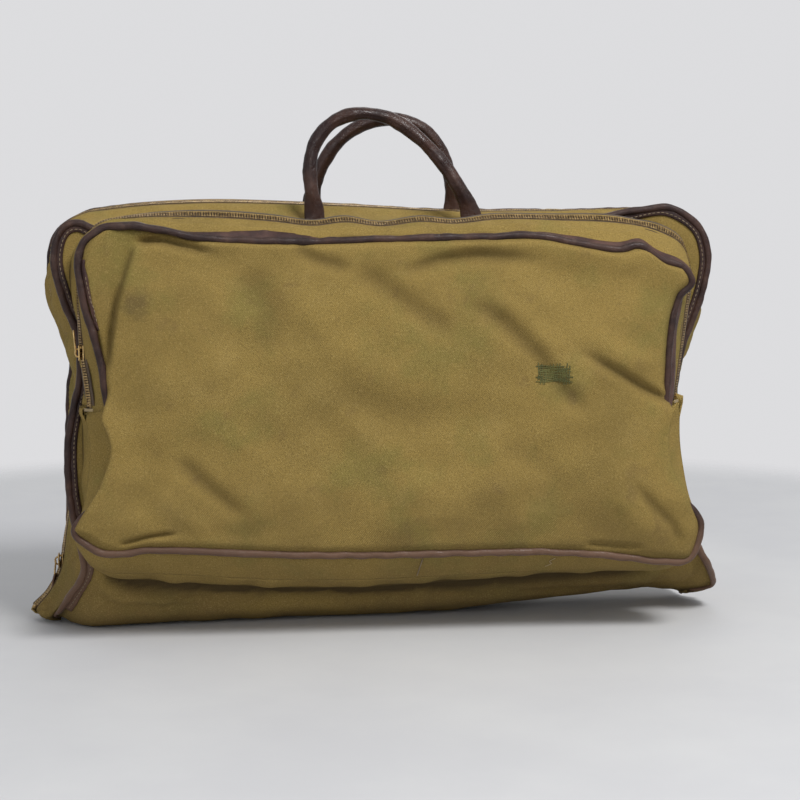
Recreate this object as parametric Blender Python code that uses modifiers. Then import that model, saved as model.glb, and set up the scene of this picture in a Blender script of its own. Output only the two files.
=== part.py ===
"""Soft-sided garment bag: two zipped halves joined along a bottom fold, a flap pocket and two handles.

Metres, +Z up. The front faces -Y, the fold runs along X under the bag, and the floor is Z = 0.
Run it with: blender --background --python part.py
"""

from collections import namedtuple
from math import cos, pi, radians, sin, sqrt

import bmesh
import bpy
from mathutils import Matrix, Vector

# ---- driving dimensions ---------------------------------------------------------------------

BAG_WIDTH = 0.600
BAG_HEIGHT = 0.376
BAG_CORNER = 0.058
HALF_DEPTH = 0.070
ZIP_Y = 0.025

POCKET_WIDTH = 0.545
POCKET_BOTTOM = 0.073
POCKET_TOP = 0.356
POCKET_CORNER = 0.034
POCKET_DEPTH = 0.050
FLAP_FOLD_Z = 0.206

CLOTH = 0.003
GAP = 0.0003
PIPING_RADIUS = 0.00325
TAPE_WIDTH = 0.011
POCKET_TAPE_WIDTH = 0.007
BOARD = 0.003

HANDLE_X = 0.014
HANDLE_HALF_SPACING = 0.072
HANDLE_RADIUS = 0.00625
HANDLE_WALL = 0.00175
HANDLE_CORE_RADIUS = 0.0038
HANDLE_TOP = 0.467
HANDLE_FROM_ZIP = 0.037
HANDLE_LEG = 0.012
TAB_LENGTH = 0.034
TAB_WIDTH = 0.022
TAB_THICKNESS = 0.0016

SLIDER_LENGTH = 0.012
SLIDER_WIDTH = 0.010
PLATE = 0.0018
LUG_STAND = 0.0032
PULL_LENGTH = 0.019
PULL_THICKNESS = 0.0014
THONG_THICKNESS = 0.0013
MAIN_SLIDER_Z = 0.055
POCKET_SLIDER_Z = 0.254

STRAP_HALF_LENGTH = 0.270
STRAP_WIDTH = 0.025
WEBBING = 0.0015
STRAP_HEIGHTS = {"upper": 0.255, "lower": 0.105}

ARC_STEPS = 6
HANDLE_STEPS = 16

# ---- sizes worked out from them -------------------------------------------------------------

BACK_Y = ZIP_Y + HALF_DEPTH
FRONT_Y = ZIP_Y - HALF_DEPTH
POCKET_Y = FRONT_Y - POCKET_DEPTH
LEG_START = CLOTH + GAP
PIPE_ROOM = 2 * PIPING_RADIUS + GAP
PANEL_RECESS = PIPING_RADIUS - CLOTH / 2
LINING_Y = BACK_Y - PANEL_RECESS - CLOTH - GAP

# Depths below the cloth's outer surface, so negative ones stand proud of it.
ROW = (0.0004, 0.0026)
TAPE = (0.0009, 0.0021)
OUTER_PLATE = (ROW[0] - GAP - PLATE, ROW[0] - GAP)
INNER_PLATE = (ROW[1] + GAP, ROW[1] + GAP + PLATE)
PULL_DEPTH = OUTER_PLATE[0] - 0.0005 - PULL_THICKNESS / 2
THONG = (PULL_DEPTH - PULL_THICKNESS / 2 - GAP - THONG_THICKNESS, PULL_DEPTH - PULL_THICKNESS / 2 - GAP)

# Distances from the plane where the two rows of teeth meet.
ROW_SPAN = (0.0008, 0.0026)
TAPE_START = ROW_SPAN[1] + GAP
ROW_START_Z = 0.016

POCKET_JOIN_Y = FRONT_Y + PANEL_RECESS - GAP
POCKET_ZIP_Y = (POCKET_JOIN_Y + POCKET_Y + PIPE_ROOM) / 2
TAB_TOP = BAG_HEIGHT + GAP + TAB_THICKNESS
HANDLE_AXIS_Z = TAB_TOP + GAP + HANDLE_RADIUS
HANDLE_Y = {"front": ZIP_Y - HANDLE_FROM_ZIP, "rear": ZIP_Y + HANDLE_FROM_ZIP}

# Shifts the bag so that the origin is under the middle of its box, though only its left side
# carries a slider that stands proud.
FRAME_X = -THONG[0] / 2

# An open U: it leaves z = ends, turns two round corners and crosses at z = crown.
Loop = namedtuple("Loop", "half_width ends crown radius")
BODY = Loop(BAG_WIDTH / 2, LEG_START, BAG_HEIGHT, BAG_CORNER)
BODY_ZIP = BODY._replace(ends=ROW_START_Z)
ARCH = Loop(POCKET_WIDTH / 2, FLAP_FOLD_Z + GAP, POCKET_TOP, POCKET_CORNER)
POUCH = Loop(POCKET_WIDTH / 2, FLAP_FOLD_Z - GAP, POCKET_BOTTOM, POCKET_CORNER)

# Which way a flat outline faces: (u, v) runs along (X, Z), (Y, Z) or (X, Y).
FACING = {
    "front": (radians(90), 0, 0),
    "side": (radians(90), 0, radians(90)),
    "top": (0, 0, 0),
}
NORMAL = {"front": Vector((0, 1, 0)), "side": Vector((1, 0, 0)), "top": Vector((0, 0, 1))}


# ---- scene, materials and placing -----------------------------------------------------------


def clear_scene():
    for old in list(bpy.data.objects):
        bpy.data.objects.remove(old)


def new_collection(name):
    collection = bpy.data.collections.new(name)
    bpy.context.scene.collection.children.link(collection)
    return collection


def material(name, colour, roughness, metallic=0.0):
    made = bpy.data.materials.new(name)
    made.use_nodes = True
    shader = made.node_tree.nodes["Principled BSDF"]
    shader.inputs["Base Color"].default_value = (*colour, 1.0)
    shader.inputs["Roughness"].default_value = roughness
    shader.inputs["Metallic"].default_value = metallic
    return made


def canvas(name):
    return material(name + "_canvas", (0.275, 0.190, 0.053), 0.85)


def leather(name):
    return material(name + "_leather", (0.054, 0.027, 0.019), 0.45)


def zip_tape(name):
    return material(name + "_cotton_tape", (0.120, 0.070, 0.035), 0.8)


def brass(name):
    return material(name + "_brass", (0.560, 0.420, 0.170), 0.35, 1.0)


def webbing(name):
    return material(name + "_webbing", (0.090, 0.060, 0.030), 0.8)


def fibreboard(name):
    return material(name + "_fibreboard", (0.100, 0.070, 0.045), 0.9)


def cotton_cord(name):
    return material(name + "_cotton_cord", (0.400, 0.350, 0.250), 0.9)


def pivot(name, place, parent):
    """An empty on a joint's axis. Places are given in the bag's own coordinates."""
    empty = bpy.data.objects.new(name, None)
    empty.empty_display_size = 0.02
    bag.objects.link(empty)
    set_place(empty, place, parent)
    return empty


def set_place(obj, place, parent):
    """Hangs an object from an empty, at a place given in the bag's own coordinates."""
    places[obj.name] = Vector(place)
    obj.parent = parent
    obj.location = places[obj.name] - places[parent.name]


def add(name, data, surface, place, parent, rotation=(0, 0, 0)):
    obj = bpy.data.objects.new(name, data)
    data.materials.append(surface(name))
    bag.objects.link(obj)
    obj.rotation_euler = rotation
    set_place(obj, place, parent)
    return obj


# ---- outlines -------------------------------------------------------------------------------


def u_path(loop, depth):
    """The loop's (x, z) points, at a depth inside its outline, from the left end to the right."""
    turn = 1 if loop.crown > loop.ends else -1
    half = loop.half_width - depth
    radius = loop.radius - depth
    middle_z = loop.crown - turn * loop.radius
    corner = [radians(90) * step / ARC_STEPS for step in range(ARC_STEPS + 1)]
    left = [(radius - half - radius * cos(a), middle_z + turn * radius * sin(a)) for a in corner]
    right = [(-x, z) for x, z in reversed(left)]
    return [(-half, loop.ends)] + left + right + [(half, loop.ends)]


def band_outline(loop, depths):
    return u_path(loop, depths[0]) + u_path(loop, depths[1])[::-1]


def rectangle(low_u, low_v, high_u, high_v):
    return [(low_u, low_v), (high_u, low_v), (high_u, high_v), (low_u, high_v)]


def stadium(middle_u, middle_v, width, length):
    """A strip along v with round ends."""
    radius = width / 2
    reach = length / 2 - radius
    turns = [pi * step / ARC_STEPS for step in range(ARC_STEPS + 1)]
    upper = [(middle_u + radius * cos(a), middle_v + reach + radius * sin(a)) for a in turns]
    lower = [(middle_u - radius * cos(a), middle_v - reach - radius * sin(a)) for a in turns]
    return upper + lower


# ---- shapes ---------------------------------------------------------------------------------


def add_spline(curve, points, closed, radii=None):
    spline = curve.splines.new("POLY")
    spline.points.add(len(points) - 1)
    for point, place in zip(spline.points, points):
        point.co = (*place, *([0.0] * (3 - len(place))), 1.0)
    for point, radius in zip(spline.points, radii or []):
        point.radius = radius
    spline.use_cyclic_u = closed


def flat_piece(name, outlines, facing, near, far, surface, parent):
    """A plate with these outlines (any after the first are holes), from near to far along its normal."""
    curve = bpy.data.curves.new(name, "CURVE")
    curve.dimensions = "2D"
    curve.fill_mode = "BOTH"
    curve.extrude = abs(far - near) / 2
    for outline in outlines:
        add_spline(curve, outline, True)
    place = NORMAL[facing] * (near + far) / 2
    return add(name, curve, surface, place, parent, FACING[facing])


def band(name, loop, depths, near, far, surface, parent):
    return flat_piece(name, [band_outline(loop, depths)], "front", near, far, surface, parent)


def rod(name, points, radius, surface, parent, radii=None, caps=True):
    curve = bpy.data.curves.new(name, "CURVE")
    curve.dimensions = "3D"
    curve.bevel_depth = radius
    curve.bevel_resolution = 2
    curve.use_fill_caps = caps
    add_spline(curve, points, False, radii)
    return add(name, curve, surface, (0, 0, 0), parent)


def piping(name, loop, front_y, parent):
    """A leather-covered cord along a panel's edge, just behind the plane y = front_y."""
    points = [(x, front_y + PIPING_RADIUS, z) for x, z in u_path(loop, PIPING_RADIUS)]
    return rod(name, points, PIPING_RADIUS, leather, parent)


def block_mesh(name, low, high):
    low, high = Vector(low), Vector(high)
    mesh = bpy.data.meshes.new(name)
    shape = bmesh.new()
    sizes = Matrix.Diagonal((*(high - low), 1.0))
    bmesh.ops.create_cube(shape, size=1.0, matrix=Matrix.Translation((low + high) / 2) @ sizes)
    shape.to_mesh(mesh)
    shape.free()
    return mesh


def block(name, low, high, surface, parent):
    return add(name, block_mesh(name, low, high), surface, (0, 0, 0), parent)


def combine(obj, operation, number, low, high):
    """Joins a block to an object, or cuts it out."""
    name = f"{obj.name}_tool_{number}"
    tool = bpy.data.objects.new(name, block_mesh(name, low, high))
    tool.hide_render = True
    tool.display_type = "WIRE"
    cutters.objects.link(tool)
    set_place(tool, (0, 0, 0), obj.parent)
    boolean = obj.modifiers.new(name, "BOOLEAN")
    boolean.operation = operation
    boolean.solver = "EXACT"
    boolean.object = tool


# ---- the two halves -------------------------------------------------------------------------


def half(side, away, outer_y, parent):
    """Panel, sides, bottom, board, piping and zip row of one half; away is +1 behind the zip."""

    def from_zip(distance):
        return ZIP_Y + away * distance

    tape_end = TAPE_START + TAPE_WIDTH
    panel_y = outer_y - away * PANEL_RECESS
    inner_y = panel_y - away * CLOTH
    outline = u_path(BODY, PIPE_ROOM)
    flat_piece(f"{side}_panel", [outline], "front", panel_y, inner_y, canvas, parent)
    gusset_end = outer_y - away * PIPE_ROOM
    band(f"{side}_gusset", BODY, (0, CLOTH), from_zip(tape_end + GAP), gusset_end, canvas, parent)
    band(f"{side}_zip_tape", BODY_ZIP, TAPE, from_zip(TAPE_START), from_zip(tape_end), zip_tape, parent)
    band(f"{side}_zip_teeth", BODY_ZIP, ROW, from_zip(ROW_SPAN[0]), from_zip(ROW_SPAN[1]), brass, parent)
    rim_y = min(outer_y, outer_y - away * 2 * PIPING_RADIUS)
    piping(f"{side}_piping", BODY, rim_y, parent)

    half_width = BODY.half_width
    fold_rows = sorted((from_zip(GAP), outer_y))
    fold_low = (-half_width, fold_rows[0], 0)
    fold_high = (half_width, fold_rows[1], CLOTH)
    block(f"{side}_fold_panel", fold_low, fold_high, canvas, parent)
    board_rows = sorted((from_zip(2 * BOARD), inner_y - away * BOARD))
    board_x = half_width - 4 * CLOTH
    board_low = (-board_x, board_rows[0], LEG_START)
    board_high = (board_x, board_rows[1], LEG_START + BOARD)
    block(f"{side}_bottom_board", board_low, board_high, fibreboard, parent)


def main_zip_stops():
    """Metal stops under the lower ends of the main zip, on its rear tape."""
    for name, sign in (("left", -1), ("right", 1)):
        reach = sorted(sign * (BODY.half_width - depth) for depth in ROW)
        low = (reach[0], ZIP_Y + ROW_SPAN[0], ROW_START_Z - 0.006)
        high = (reach[1], ZIP_Y + TAPE_START + TAPE_WIDTH / 2, ROW_START_Z - GAP)
        block(f"main_zip_stop_{name}", low, high, brass, frame)


def garment_holders():
    """What keeps clothes in place inside the rear half: two straps, their buckles, a hanger hook."""
    strap_y = (LINING_Y - WEBBING, LINING_Y)
    buckle_y = (strap_y[0] - GAP - PLATE, strap_y[0] - GAP)
    window, bar, rim = 0.011, 0.003, 0.0035
    for name, z in STRAP_HEIGHTS.items():
        half_strap = STRAP_WIDTH / 2
        strap = rectangle(-STRAP_HALF_LENGTH, z - half_strap, STRAP_HALF_LENGTH, z + half_strap)
        flat_piece(f"garment_strap_{name}", [strap], "front", *strap_y, webbing, frame)
        inner = half_strap + GAP
        outer_x = bar / 2 + window + rim
        buckle = rectangle(-outer_x, z - inner - rim, outer_x, z + inner + rim)
        left = rectangle(-bar / 2 - window, z - inner, -bar / 2, z + inner)
        right = rectangle(bar / 2, z - inner, bar / 2 + window, z + inner)
        flat_piece(f"strap_buckle_{name}", [buckle, left, right], "front", *buckle_y, brass, frame)

    sheet, reach, half_hook = 0.0015, 0.018, 0.020
    base_z, top_z, lip_z = 0.312, 0.346, 0.324
    back, shelf_start = LINING_Y, LINING_Y - reach
    low = (-half_hook, back - sheet, base_z)
    hook = block("hanger_hook", low, (half_hook, back, top_z), brass, frame)
    shelf_high = (half_hook, back - sheet / 2, base_z + sheet)
    combine(hook, "UNION", 1, (-half_hook, shelf_start, base_z), shelf_high)
    lip_high = (half_hook, shelf_start + sheet, lip_z)
    combine(hook, "UNION", 2, (-half_hook, shelf_start, base_z), lip_high)


# ---- the front pocket -----------------------------------------------------------------------


def pocket_rows(prefix, away, parent):
    """Tape and teeth on one side of the pocket's zip; away is +1 on the bag's side of it."""
    start, end = TAPE_START, TAPE_START + POCKET_TAPE_WIDTH
    near, far = (POCKET_ZIP_Y + away * start, POCKET_ZIP_Y + away * end)
    band(f"{prefix}_zip_tape", ARCH, TAPE, near, far, zip_tape, parent)
    near, far = (POCKET_ZIP_Y + away * distance for distance in ROW_SPAN)
    band(f"{prefix}_zip_teeth", ARCH, ROW, near, far, brass, parent)


def pocket(parent):
    """The parts of the pocket that stay on the front half."""
    panel_y = POCKET_Y + PANEL_RECESS
    pouch = u_path(POUCH, PIPE_ROOM)
    flat_piece("pocket_lower_panel", [pouch], "front", panel_y, panel_y + CLOTH, canvas, parent)
    depths = (0, CLOTH)
    band("pocket_lower_gusset", POUCH, depths, POCKET_Y + PIPE_ROOM, POCKET_JOIN_Y, canvas, parent)
    piping("pocket_lower_piping", POUCH, POCKET_Y, parent)
    gusset_start = POCKET_ZIP_Y + TAPE_START + POCKET_TAPE_WIDTH + GAP
    band("pocket_top_gusset", ARCH, depths, gusset_start, POCKET_JOIN_Y, canvas, parent)
    pocket_rows("pocket", 1, parent)
    for name, sign in (("left", -1), ("right", 1)):
        near = ARCH.half_width + GAP
        reach = sorted((sign * near, sign * (near + PULL_THICKNESS)))
        low = (reach[0], POCKET_ZIP_Y - SLIDER_WIDTH / 2, FLAP_FOLD_Z - 0.010)
        high = (reach[1], POCKET_ZIP_Y + SLIDER_WIDTH / 2, FLAP_FOLD_Z - 0.002)
        block(f"pocket_zip_stop_{name}", low, high, brass, parent)


def flap(parent):
    """The upper half of the pocket's face, with its own piping, sides and zip row."""
    panel_y = POCKET_Y + PANEL_RECESS
    face = u_path(ARCH, PIPE_ROOM)
    flat_piece("flap_panel", [face], "front", panel_y, panel_y + CLOTH, canvas, parent)
    gusset_end = POCKET_ZIP_Y - TAPE_START - POCKET_TAPE_WIDTH - GAP
    band("flap_gusset", ARCH, (0, CLOTH), POCKET_Y + PIPE_ROOM, gusset_end, canvas, parent)
    piping("flap_piping", ARCH, POCKET_Y, parent)
    pocket_rows("flap", -1, parent)


# ---- sliders --------------------------------------------------------------------------------


def slider(name, side_x, middle_y, middle_z, parent):
    """Two plates either side of the teeth, a thin bridge between the rows, and a lug for the pull."""
    half_width, half_length = SLIDER_WIDTH / 2, SLIDER_LENGTH / 2

    def corner(depth, dy, dz):
        return (side_x + depth, middle_y + dy, middle_z + dz)

    low = corner(OUTER_PLATE[0], -half_width, -half_length)
    body = block(name, low, corner(OUTER_PLATE[1], half_width, half_length), brass, parent)
    bridge, overlap = 0.0005, 0.0004
    low = corner(OUTER_PLATE[1] - overlap, -bridge, -half_length / 2)
    high = corner(INNER_PLATE[0] + overlap, bridge, half_length / 2)
    combine(body, "UNION", 1, low, high)
    low = corner(INNER_PLATE[0], -half_width, -half_length)
    combine(body, "UNION", 2, low, corner(INNER_PLATE[1], half_width, half_length))
    lug_y, lug_z, hole = 0.0015, 0.002, 0.001
    low = corner(OUTER_PLATE[0] - LUG_STAND, -lug_y, -lug_z)
    combine(body, "UNION", 3, low, corner(OUTER_PLATE[0] + overlap, lug_y, lug_z))
    low = corner(PULL_DEPTH - hole, -2 * lug_y, -hole)
    combine(body, "DIFFERENCE", 4, low, corner(PULL_DEPTH + hole, 2 * lug_y, hole))


def pull(name, side_x, middle_y, middle_z, points_up, parent):
    """A flat tab whose window loops through the slider's lug."""
    half_width, bar, window_y = 0.004, 0.0007, 0.0024
    window_z, end = 0.0068, PULL_LENGTH
    turn = 1 if points_up else -1
    near = middle_z - turn * bar
    plate = rectangle(middle_y - half_width, near, middle_y + half_width, middle_z + turn * end)
    opening = (middle_z + turn * bar, middle_z + turn * window_z)
    window = rectangle(middle_y - window_y, opening[0], middle_y + window_y, opening[1])
    depth = side_x + PULL_DEPTH
    near, far = depth - PULL_THICKNESS / 2, depth + PULL_THICKNESS / 2
    flat_piece(name, [plate, window], "side", near, far, brass, parent)


def main_slider():
    side_x = -BODY.half_width
    slider_frame = pivot("main_slider_frame", (side_x, ZIP_Y, MAIN_SLIDER_Z), frame)
    slider("main_slider", side_x, ZIP_Y, MAIN_SLIDER_Z, slider_frame)
    hinge = pivot("main_pull_hinge", (side_x + PULL_DEPTH, ZIP_Y, MAIN_SLIDER_Z), slider_frame)
    pull("main_pull", side_x, ZIP_Y, MAIN_SLIDER_Z, False, hinge)
    thong_z = (MAIN_SLIDER_Z - 0.044, MAIN_SLIDER_Z - 0.009)
    thong = rectangle(ZIP_Y - 0.005, thong_z[0], ZIP_Y + 0.005, thong_z[1])
    near, far = (side_x + depth for depth in THONG)
    flat_piece("main_pull_thong", [thong], "side", near, far, leather, hinge)


def pocket_slider(parent):
    side_x = -ARCH.half_width
    slider_frame = pivot("pocket_slider_frame", (side_x, POCKET_ZIP_Y, POCKET_SLIDER_Z), parent)
    slider("pocket_slider", side_x, POCKET_ZIP_Y, POCKET_SLIDER_Z, slider_frame)
    place = (side_x + PULL_DEPTH, POCKET_ZIP_Y, POCKET_SLIDER_Z)
    hinge = pivot("pocket_pull_hinge", place, slider_frame)
    pull("pocket_pull", side_x, POCKET_ZIP_Y, POCKET_SLIDER_Z, True, hinge)


# ---- handles --------------------------------------------------------------------------------


def handle_arch(y):
    """The handle's centreline above its straight legs."""
    rise = HANDLE_TOP - HANDLE_RADIUS - HANDLE_AXIS_Z - HANDLE_LEG
    points = []
    for step in range(HANDLE_STEPS + 1):
        turn = pi - pi * step / HANDLE_STEPS
        x = HANDLE_X + HANDLE_HALF_SPACING * cos(turn)
        points.append((x, y, HANDLE_AXIS_Z + HANDLE_LEG + rise * sin(turn)))
    return points


def knob_profile():
    """(height above the joint's axis, radius) of the round knot at each end of the handle's cord."""
    turns = [radians(angle) for angle in (-80, -50, -20, 20)]
    knot = [(HANDLE_RADIUS * sin(a), HANDLE_RADIUS * cos(a)) for a in turns]
    neck = sqrt(HANDLE_RADIUS**2 - HANDLE_CORE_RADIUS**2)
    return knot + [(neck, HANDLE_CORE_RADIUS)]


def handle(side, parent):
    """A rolled leather grip over a cord whose knotted ends turn on the axis through the two tabs."""
    y = HANDLE_Y[side]
    hinge = pivot(f"{side}_handle_hinge", (HANDLE_X, y, HANDLE_AXIS_Z), parent)
    arch = handle_arch(y)
    left_x, right_x = arch[0][0], arch[-1][0]
    wrap_start = HANDLE_AXIS_Z + HANDLE_RADIUS + 2 * GAP
    wrap_points = [(left_x, y, wrap_start)] + arch + [(right_x, y, wrap_start)]
    wrap = rod(f"{side}_handle_grip", wrap_points, HANDLE_RADIUS, leather, hinge, caps=False)
    wall = wrap.modifiers.new("leather_thickness", "SOLIDIFY")
    wall.thickness = HANDLE_WALL
    wall.offset = -1

    knob = knob_profile()
    left = [(left_x, y, HANDLE_AXIS_Z + height) for height, _ in knob]
    right = [(right_x, y, z) for _, _, z in reversed(left)]
    ends = [radius / HANDLE_CORE_RADIUS for _, radius in knob]
    radii = ends + [1.0] * len(arch) + ends[::-1]
    rod(f"{side}_handle_cord", left + arch + right, HANDLE_CORE_RADIUS, cotton_cord, hinge, radii)


def handle_tabs(side, parent):
    for name, sign in (("left", -1), ("right", 1)):
        x = HANDLE_X + sign * HANDLE_HALF_SPACING
        tab = stadium(x, HANDLE_Y[side], TAB_WIDTH, TAB_LENGTH)
        low_z = BAG_HEIGHT + GAP
        flat_piece(f"{side}_handle_tab_{name}", [tab], "top", low_z, TAB_TOP, leather, parent)


# ---- assembly -------------------------------------------------------------------------------

clear_scene()
bag = new_collection("garment_bag")
cutters = new_collection("cutters")
cutters.hide_render = True
places = {}

frame = bpy.data.objects.new("bag_frame", None)
frame.location = (FRAME_X, 0, 0)
places[frame.name] = Vector((0, 0, 0))
bag.objects.link(frame)

half("rear", 1, BACK_Y, frame)
main_zip_stops()
garment_holders()
handle_tabs("rear", frame)
handle("rear", frame)
main_slider()

front_half = pivot("bottom_fold", (0, ZIP_Y, -GAP), frame)
half("front", -1, FRONT_Y, front_half)
handle_tabs("front", front_half)
handle("front", front_half)
pocket(front_half)
pocket_slider(front_half)

flap_fold = pivot("flap_fold", (0, POCKET_Y - GAP, FLAP_FOLD_Z), front_half)
flap(flap_fold)
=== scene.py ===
"""Looks of the soft garment bag: slumped canvas, leather-bound edges, brass zips and rolled handles.

Lengths in the tables are millimetres. A side's table says how far a soft edge sits in from the frame's
own edge, so a row of zeros would be the frame's plain outline.
"""

from math import cos, pi, radians, sin

import bpy
import numpy as np
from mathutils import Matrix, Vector
from mathutils.bvhtree import BVHTree


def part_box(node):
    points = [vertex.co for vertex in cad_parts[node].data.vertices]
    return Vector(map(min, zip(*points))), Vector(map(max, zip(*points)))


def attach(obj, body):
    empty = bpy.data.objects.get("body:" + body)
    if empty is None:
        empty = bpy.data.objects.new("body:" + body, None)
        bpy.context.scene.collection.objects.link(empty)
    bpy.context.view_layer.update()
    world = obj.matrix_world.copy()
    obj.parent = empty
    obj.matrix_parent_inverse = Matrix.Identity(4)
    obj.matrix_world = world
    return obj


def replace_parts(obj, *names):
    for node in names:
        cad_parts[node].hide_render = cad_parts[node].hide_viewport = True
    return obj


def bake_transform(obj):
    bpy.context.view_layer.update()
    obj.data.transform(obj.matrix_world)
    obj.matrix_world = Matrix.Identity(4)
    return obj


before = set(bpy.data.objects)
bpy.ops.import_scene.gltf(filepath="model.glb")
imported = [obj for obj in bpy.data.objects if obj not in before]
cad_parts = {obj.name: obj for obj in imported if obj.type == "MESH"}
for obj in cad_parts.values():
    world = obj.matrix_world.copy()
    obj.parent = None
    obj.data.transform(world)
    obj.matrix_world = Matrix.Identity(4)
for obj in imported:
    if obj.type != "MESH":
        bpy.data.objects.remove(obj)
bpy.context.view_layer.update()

MM = 0.001
CANVAS = 1.3 * MM
LEATHER = 1.1 * MM
CORD_RADIUS = 3.4 * MM
TOOTH_PITCH = 2.3 * MM
ZIP_HALF_GAP = 4.6 * MM
TAPE_REACH = 7.0 * MM
GRID = 3.6 * MM
FACE_GRID = 2.6 * MM
GROOVE = 8 * MM
SEAM_REACH = 7.5 * MM
OUTSIDE = 7.0 * MM

# ---- places taken from the frame --------------------------------------------------------------

BODY_LOW, BODY_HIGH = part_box("front_gusset")
FRONT_PIPING_Y = (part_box("front_piping")[0].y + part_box("front_piping")[1].y) / 2
REAR_PIPING_Y = (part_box("rear_piping")[0].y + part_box("rear_piping")[1].y) / 2
ZIP_Y = (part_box("front_zip_teeth")[1].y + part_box("rear_zip_teeth")[0].y) / 2
POCKET_LOW, POCKET_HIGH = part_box("pocket_lower_gusset")
POCKET_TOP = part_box("pocket_top_gusset")[1].z
POCKET_PIPING_Y = (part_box("flap_piping")[0].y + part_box("flap_piping")[1].y) / 2
POCKET_ZIP_Y = (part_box("flap_zip_teeth")[1].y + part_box("pocket_zip_teeth")[0].y) / 2
POCKET_ROOT_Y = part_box("front_panel")[0].y - 2.5 * MM
FOLD_Z = (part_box("flap_panel")[0].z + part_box("pocket_lower_panel")[1].z) / 2

# ---- how the soft edges sit in the frame --------------------------------------------------------

# Body sides, from under the fold up to the middle of the top corner. Each edge: in from the side,
# in from the piping's plane (towards the zip), height. The zip has no second number.
BODY_LEFT = [
    ((11, 61, 4), (10, 3), (11, 61, 4)),
    ((6, 50, 8), (-14, 9), (7, 46, 6)),
    ((14, 27, 21), (0, 28), (9, 20, 24)),
    ((34, 5, 56), (11, 50), (14, 5, 52)),
    ((30, 0, 88), (17, 86), (17, 0, 88)),
    ((24, -2, 128), (25, 128), (18, -1, 128)),
    ((23, -2, 170), (25, 170), (18, -1, 170)),
    ((29, -1, 205), (27, 205), (20, -1, 206)),
    ((35, 0, 232), (28, 234), (23, 0, 236)),
    ((32, 0, 268), (19, 266), (14, 0, 268)),
    ((21, 0, 300), (8, 298), (5, 0, 298)),
    ((14, 0, 330), (9, 328), (4, 0, 328)),
    ((20, 0, 356), (18, 356), (13, 0, 352)),
]
BODY_RIGHT = [
    ((4, 61, 13), (6, 12), (8, 61, 9)),
    ((-15, 45, 20), (-16, 15), (2, 46, 6)),
    ((-9, 24, 38), (-4, 31), (4, 22, 16)),
    ((8, 4, 64), (6, 62), (5, 4, 58)),
    ((24, 0, 96), (17, 94), (8, 0, 92)),
    ((34, -1, 135), (25, 132), (11, -1, 130)),
    ((36, -1, 175), (27, 172), (13, -1, 170)),
    ((35, 0, 215), (23, 212), (13, 0, 208)),
    ((29, 0, 250), (13, 248), (10, 0, 246)),
    ((17, 0, 282), (4, 280), (7, 0, 280)),
    ((9, 0, 310), (2, 308), (5, 0, 308)),
    ((7, 0, 336), (5, 334), (6, 0, 334)),
    ((17, 0, 360), (17, 358), (16, 0, 356)),
]
# Body top between the corners' middles: place along the bag, then drops of the three edges.
BODY_TOP = [
    (-262, 12, 6, 9),
    (-238, 21, 1, 4),
    (-200, 20, -3, 0),
    (-140, 19, -5, -1),
    (-66, 17, -3, 1),
    (0, 16, 0, 4),
    (70, 16, 4, 7),
    (140, 14, 4, 8),
    (190, 10, 4, 8),
    (226, 4, 3, 7),
    (258, 0, 3, 7),
]

# The pocket's bound edge. Sides: in from the pocket's side, back from the piping's plane, height.
EDGE_LEFT_UPPER = [
    (33, 6, 208), (28, 3, 238), (22, 1, 267), (13, 0, 300), (9, 0, 330), (15, 0, 350)
]
EDGE_TOP = [
    (-236, 0, -6), (-205, 0, -6), (-160, 1, 3), (-117, 2, 6), (-60, 3, 7), (11, 3, 5),
    (81, 2, 4), (128, 1, 3), (164, 0, 9), (198, -1, 15), (221, -1, 12), (240, 0, 24),
]
EDGE_RIGHT_UPPER = [
    (16, 0, 325), (7, 1, 312), (18, 3, 298), (24, 4, 272), (26, 5, 240), (27, 6, 206)
]
EDGE_RIGHT_LOWER = [(31, 8, 176), (27, 7, 148), (11, 2, 120), (-5, 0, 98)]
EDGE_BOTTOM = [
    (270, 0, -6), (243, 0, -8), (200, 0, -2), (140, 0, 3), (60, 0, 4), (-20, 0, 4),
    (-90, 0, 6), (-150, 0, 10), (-205, 0, 13), (-238, 0, 10), (-260, 0, 20),
]
EDGE_LEFT_LOWER = [(2, 0, 106), (22, 3, 128), (35, 7, 150), (43, 8, 178)]

# The line of the pocket's zip: in from the side and height, or place along and drop.
ZIP_LEFT = [(16, 206), (13, 230), (10, 254), (8, 282), (7, 310), (8, 334), (17, 354)]
ZIP_TOP = [
    (-240, -10), (-205, -15), (-166, -16), (-132, -15), (-95, -12), (-62, -8), (-33, -11),
    (-2, -7), (32, -11), (63, -9), (102, -13), (156, -12), (195, -11), (225, -7), (245, -2),
]
ZIP_RIGHT = [(12, 348), (4, 332), (2, 310), (5, 282), (8, 256), (11, 232), (14, 206)]

# Where the pocket's sides meet the front panel, in the same order as its bound edge.
ROOT_LEFT_UPPER = [(9, 206), (13, 234), (10, 268), (2, 300), (0, 324), (8, 344)]
ROOT_TOP = [
    (-240, 6), (-200, 8), (-160, 8), (-100, 8), (0, 7), (100, 7), (190, 6), (238, 6)
]
ROOT_RIGHT_UPPER = [(10, 342), (4, 322), (6, 290), (13, 250), (17, 206)]
ROOT_RIGHT_LOWER = [(17, 170), (15, 135), (10, 100), (8, 74)]
ROOT_BOTTOM = [
    (260, -18), (225, -24), (153, -28), (60, -33), (-20, -36), (-100, -34), (-170, -28),
    (-225, -23), (-250, -14),
]
ROOT_LEFT_LOWER = [(12, 84), (9, 125), (8, 165)]


# ---- curves -------------------------------------------------------------------------------------


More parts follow.
